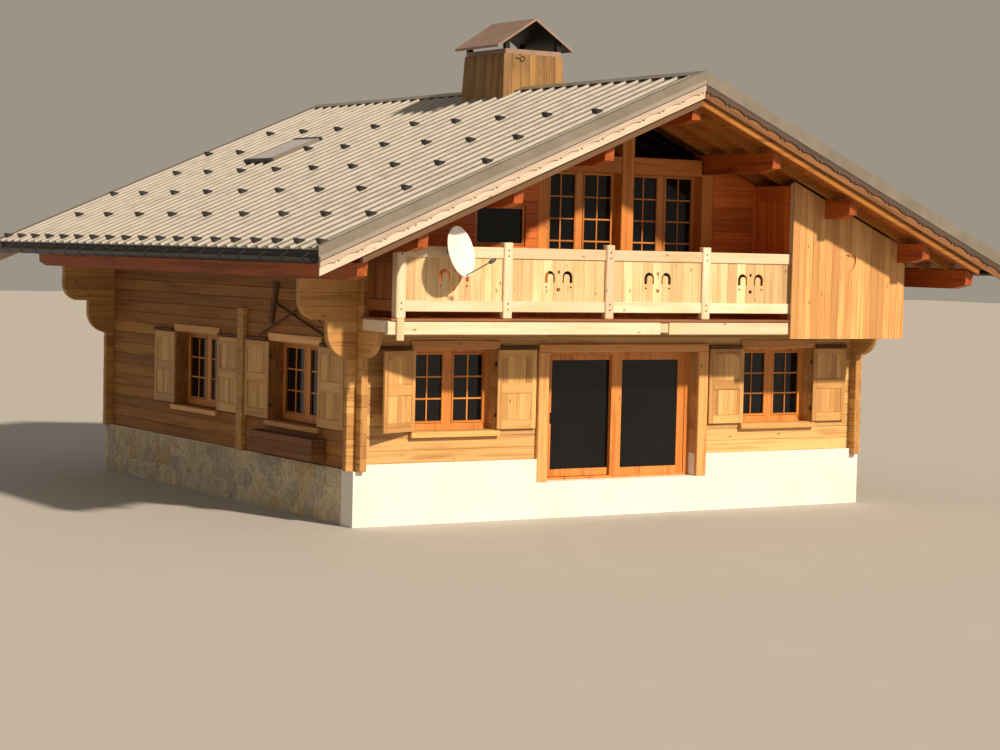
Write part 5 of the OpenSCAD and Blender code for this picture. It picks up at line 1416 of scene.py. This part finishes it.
def make_chimney():
    """Weathered boards round the chimney, narrower towards the top, cut to the roof's slope."""
    boards = Timber(75)
    count, board_t = 7, 0.018

    def half(z, axis):
        """Half the chimney's width in x or y at height z."""
        t = (z - CHIMNEY_FOOT_Z) / (CHIMNEY_TOP_Z - CHIMNEY_FOOT_Z)
        return CHIMNEY_FOOT[axis] + t * (CHIMNEY_TOP[axis] - CHIMNEY_FOOT[axis])

    def corner(face, share, z, out):
        """A point on one of the four faces, share from -1 to 1 across it."""
        if face in (0, 2):
            sign = 1 - face
            return (CHIMNEY_X + share * (half(z, 0) + board_t),
                    CHIMNEY_Y - sign * (half(z, 1) + out), z)
        sign = 2 - face
        return (CHIMNEY_X + sign * (half(z, 0) + out), CHIMNEY_Y + share * half(z, 1), z)

    for face in range(4):
        for k in range(count):
            shares = (2 * k / count - 1 + 0.006, 2 * (k + 1) / count - 1 - 0.006)
            points = []
            for out in (-0.01, board_t):
                for share in shares:
                    x = corner(face, share, 7.0, 0)[0]
                    low = PAN_TOP_Z - abs(x) * RISE + 0.004
                    points.append(corner(face, share, low, out))
                    points.append(corner(face, share, CHIMNEY_TOP_Z - 0.001, out))
            boards.faces(points, [[0, 2, 3, 1], [4, 5, 7, 6], [0, 1, 5, 4], [2, 6, 7, 3],
                                  [0, 4, 6, 2], [1, 3, 7, 5]], 2)
    settle(boards.build("chimney_boards", CHIMNEY_WOOD), "house", "grey_boards")

    # A small wrought scroll with a straight tail, fixed to the front boards: the spiral turns
    # through 300 degrees as its radius goes from 58 to 32 mm
    scroll = Timber(83)
    steps, middle_x, middle_z = 24, -0.01, CHIMNEY_TOP_Z - 0.075
    bends = [(-0.150, 0.012), (-0.105, 0.0), (-0.072, -0.006)]
    for k in range(steps + 1):
        angle, reach = math.radians(195 + 300 * k / steps), 0.058 - 0.026 * k / steps
        bends.append((reach * math.cos(angle), reach * math.sin(angle)))
    path = [(middle_x + x, CHIMNEY_Y - half(middle_z + z, 1) - 0.024, middle_z + z)
            for x, z in bends]
    scroll.rod(path, 0.007, 8)
    settle(scroll.build("chimney_scroll", IRON), "house", "iron")


# The roof window: its upper corner down the slope and along the ridge, its length down the
# slope, its width and the width of its covers
SKYLIGHT = (2.33, 2.25, 1.18, 1.10, 0.07)


def make_skylight_glass():
    """The pale pane and its beads on the left slope. The pane's paleness is a painted sky
    reflection, and the end covers are black as painted shade at the frame's ends.
    """
    tilt = Matrix.Translation((0, 0, SHEET_Z)) @ MIRROR_X @ Matrix.Rotation(SLOPE, 4, "Y")
    x0, y0, length, width, cover = SKYLIGHT
    z = SHEET_T
    x1, y1 = x0 + length - cover, y0 + width - cover
    pane, covers, ends = Timber(76), Timber(77), Timber(78)
    pane.board((x0 + cover, y0 + cover, z + 0.07), (x1, y1, z + 0.078), 0, 0.002, tilt)
    for a in (y0, y1):
        covers.board((x0 + cover, a, z), (x1, a + cover, z + 0.085), 0, 0.012, tilt)
    for a in (x0, x1):
        ends.board((a, y0, z), (a + cover, y0 + width, z + 0.09), 1, 0.012, tilt)
    settle(pane.build("skylight_pane", SKY_GLASS), "house", "panes")
    settle(covers.build("skylight_side_covers", FLASHING), "house", "dark_metal")
    settle(ends.build("skylight_end_covers", DARK_METAL), "house", "dark_metal", "skylight")


DISH_AT = (-4.14, BALCONY_Y - 0.25, 4.33)


def make_dish():
    """The aerial dish, a smooth pressed bowl with a rolled rim, its arm and its receiver."""
    radius, depth, wall, rings, rim_r = 0.39, 0.072, 0.010, 12, 0.006
    turn, tilt, lean = (math.radians(a) for a in (30, 90 - 13.4, 14))
    bowl, arm = Timber(78), Timber(79)
    frame_of_dish = (Matrix.Translation(DISH_AT) @ Matrix.Rotation(turn, 4, "Z")
                     @ Matrix.Rotation(tilt, 4, "X"))
    curve = [(radius * k / rings, depth * (k / rings) ** 2) for k in range(rings + 1)]
    rim = [(radius + rim_r, depth + 0.004), (radius + rim_r, depth - 0.004)]
    bowl.lathe([(r, z + wall) for r, z in curve] + rim + curve[::-1], 72, frame_of_dish)
    root = Vector((0, -radius + 0.008, 0.06))
    reach = Vector((0, math.sin(lean), math.cos(lean)))
    tip = root + 0.50 * reach
    arm.rod([root, tip], 0.010, 12, frame_of_dish)
    arm.rod([tip - 0.03 * reach, tip + 0.05 * reach, tip + 0.055 * reach, tip + 0.08 * reach],
            [0.032, 0.032, 0.022, 0.022], 20, frame_of_dish)
    arm.rod([DISH_AT, (DISH_AT[0], BALCONY_Y + RAIL_BACK, DISH_AT[2])], 0.02, 16)
    settle(bowl.build("dish_bowl", DISH_PAINT, smooth=True), "house", "white_paint", "dish")
    settle(arm.build("dish_arm", ZINC, smooth=True), "house", "white_paint")


def make_flower_box():
    """An empty window box of three boards a side on the left wall."""
    box = Timber(80)
    half, depth, t, z0, z1 = 1.13, 0.27, 0.03, 0.95, 1.30
    x0, x1 = -NEAR_WINDOW_Y - half, -NEAR_WINDOW_Y + half
    step = (z1 - z0) / 3
    for k in range(3):
        low, high = z0 + k * step, z0 + (k + 1) * step
        for y in (-depth, -t):
            box.board((x0, y, low), (x1, y + t, high), 0, 0.005, LEFT)
        for x in (x0, x1 - t):
            box.board((x, -depth + t, low), (x + t, -t, high), 1, 0.005, LEFT)
    box.board((x0 + t, -depth + t, z0), (x1 - t, -t, z0 + t), 0, 0.004, LEFT)
    settle(box.build("window_box_boards", BOX_WOOD), "house", "joinery", "flower_box")


def make_handles():
    """Lever handles of the French windows and the flush pull of the patio door's sliding leaf."""
    fixed, sliding = Timber(81), Timber(82)
    y, z, out = FRENCH_SASH_Y, UPPER_FLOOR_Z + 1.05, FRENCH_SASH_Y - 0.038
    for x in (-PURLIN_GAP / 2, PURLIN_GAP / 2):
        fixed.board((x - 0.016, y - 0.004, z - 0.08), (x + 0.016, y, z + 0.08), 2, 0.002, FRONT)
        fixed.rod([(x, y, z + 0.03), (x, y - 0.032, z + 0.03), (x + 0.02, out, z + 0.03),
                   (x + 0.12, out, z + 0.028)], 0.008, 10, FRONT)
    # The sliding leaf passes 8 mm behind the fixed one, so it has a flush pull with a raised rim
    x0, x1, z0, z1, rim, plate_y = -1.295, -1.245, 1.53, 1.71, 0.008, 0.2505
    sliding.board((x0, plate_y, z0), (x1, plate_y + 0.003, z1), 2, 0.001, FRONT)
    rim_of_boards(sliding, FRONT, x0 + rim, x1 - rim, z0 + rim, z1 - rim, rim,
                  (plate_y - 0.0025, plate_y), 0.001)
    settle(fixed.build("french_window_handles", IRON), "house", "iron")
    settle(sliding.build("patio_pull", IRON), "patio_leaf", "iron")


def dress_nodes():
    """Materials of the CAD nodes that stay."""
    looks = {
        "plinth_front": RENDER, "plinth_stone": MORTAR, "ground_floor": FLOOR, "upper_floor": FLOOR,
        "windows_low": FRAME_WOOD, "windows_up": FRAME_WOOD, "glass_low": GLASS, "glass_up": GLASS,
        "patio_leaf_glass": GLASS, "patio_frame": FRAME_WOOD, "patio_leaf": FRAME_WOOD,
        "pintles": IRON, "purlins": BEAM_Y, "rafters": BEAM_X, "roof_deck": DECK_SIDE,
        "roof_sheet_left": ROOF_METAL, "roof_sheet_right": ROOF_METAL, "roof_flashings": FLASHING,
        "bargeboards": PAINTED_LIT_VERGE, "gutters": GUTTER_METAL, "snow_guards": DARK_METAL,
        "chimney": CHIMNEY_CORE, "chimney_cap": CAP_METAL, "hay_tools": OLD_WOOD,
    }
    for name, node in frame["nodes"].items():
        node.data.materials.clear()
        node.data.materials.append(looks.get(name, LOGS))


# Stage, light and camera

FLOOR_REACH = 150
FLOOR_Z = -0.002
# From the front, a little to the right and 35 degrees up, so that the left wall lies in shade
LIGHT_FROM = Vector((0.198, -0.795, 0.574))
SENSOR_MM = 36.0
PHOTO_W_PX = 1000
FOCAL_PX = 2292.5
CAMERA_AT = (-22.197, -35.901, 4.381)
# Degrees: yaw to the right of +Y, pitch, and roll
CAMERA_TURN = (32.24, -3.12, 1.32)


def stage_and_light():
    """A plain pale floor, an even warm sky and one soft light."""
    corners = rectangle(-FLOOR_REACH, FLOOR_REACH, -FLOOR_REACH, FLOOR_REACH)
    floor_data = bpy.data.meshes.new("floor")
    floor_data.from_pydata([(x, y, FLOOR_Z) for x, y in corners], [], [(0, 1, 2, 3)])
    floor_data.materials.append(mottled("pale_floor", "#b0b0ae", "#b2b2b0", 0.5, 0.9, 0.0005))
    add_object("floor", floor_data)

    world = bpy.data.worlds.new("studio")
    bpy.context.scene.world = world
    world.use_nodes = True
    background = world.node_tree.nodes["Background"]
    background.inputs["Color"].default_value = linear("#f2e4d2")
    background.inputs["Strength"].default_value = 0.38

    key = bpy.data.lights.new("key", "SUN")
    key.energy = 5.0
    key.angle = math.radians(3)
    key.color = linear("#ffe9cc")[:3]
    add_object("key", key).rotation_euler = LIGHT_FROM.to_track_quat("Z", "Y").to_euler()
    bpy.context.scene.view_settings.view_transform = "Standard"


def make_camera():
    """The photograph's viewing angle."""
    camera = bpy.data.cameras.new("camera")
    camera.sensor_width = SENSOR_MM
    camera.lens = SENSOR_MM * FOCAL_PX / PHOTO_W_PX
    camera.clip_end = 500
    eye = add_object("camera", camera)
    yaw, pitch, roll = (math.radians(a) for a in CAMERA_TURN)
    forward = Vector((math.sin(yaw) * math.cos(pitch), math.cos(yaw) * math.cos(pitch),
                      math.sin(pitch)))
    level = Vector((math.cos(yaw), -math.sin(yaw), 0))
    upright = level.cross(forward)
    right = math.cos(roll) * level + math.sin(roll) * upright
    up = -math.sin(roll) * level + math.cos(roll) * upright
    turn = Matrix((right, up, -forward)).transposed().to_4x4()
    eye.matrix_world = Matrix.Translation(CAMERA_AT) @ turn
    bpy.context.scene.camera = eye


make_camera()
dress_nodes()
make_walls()
make_corners()
make_gable_frame()
make_stones()
make_window_bars()
make_trims()
make_shutters()
make_balcony_floor()
make_balcony_posts()
make_balustrade()
make_balcony_room()
make_soffit()
make_bargeboards()
make_roof_screws()
make_chimney()
make_skylight_glass()
make_dish()
make_flower_box()
make_handles()
stage_and_light()
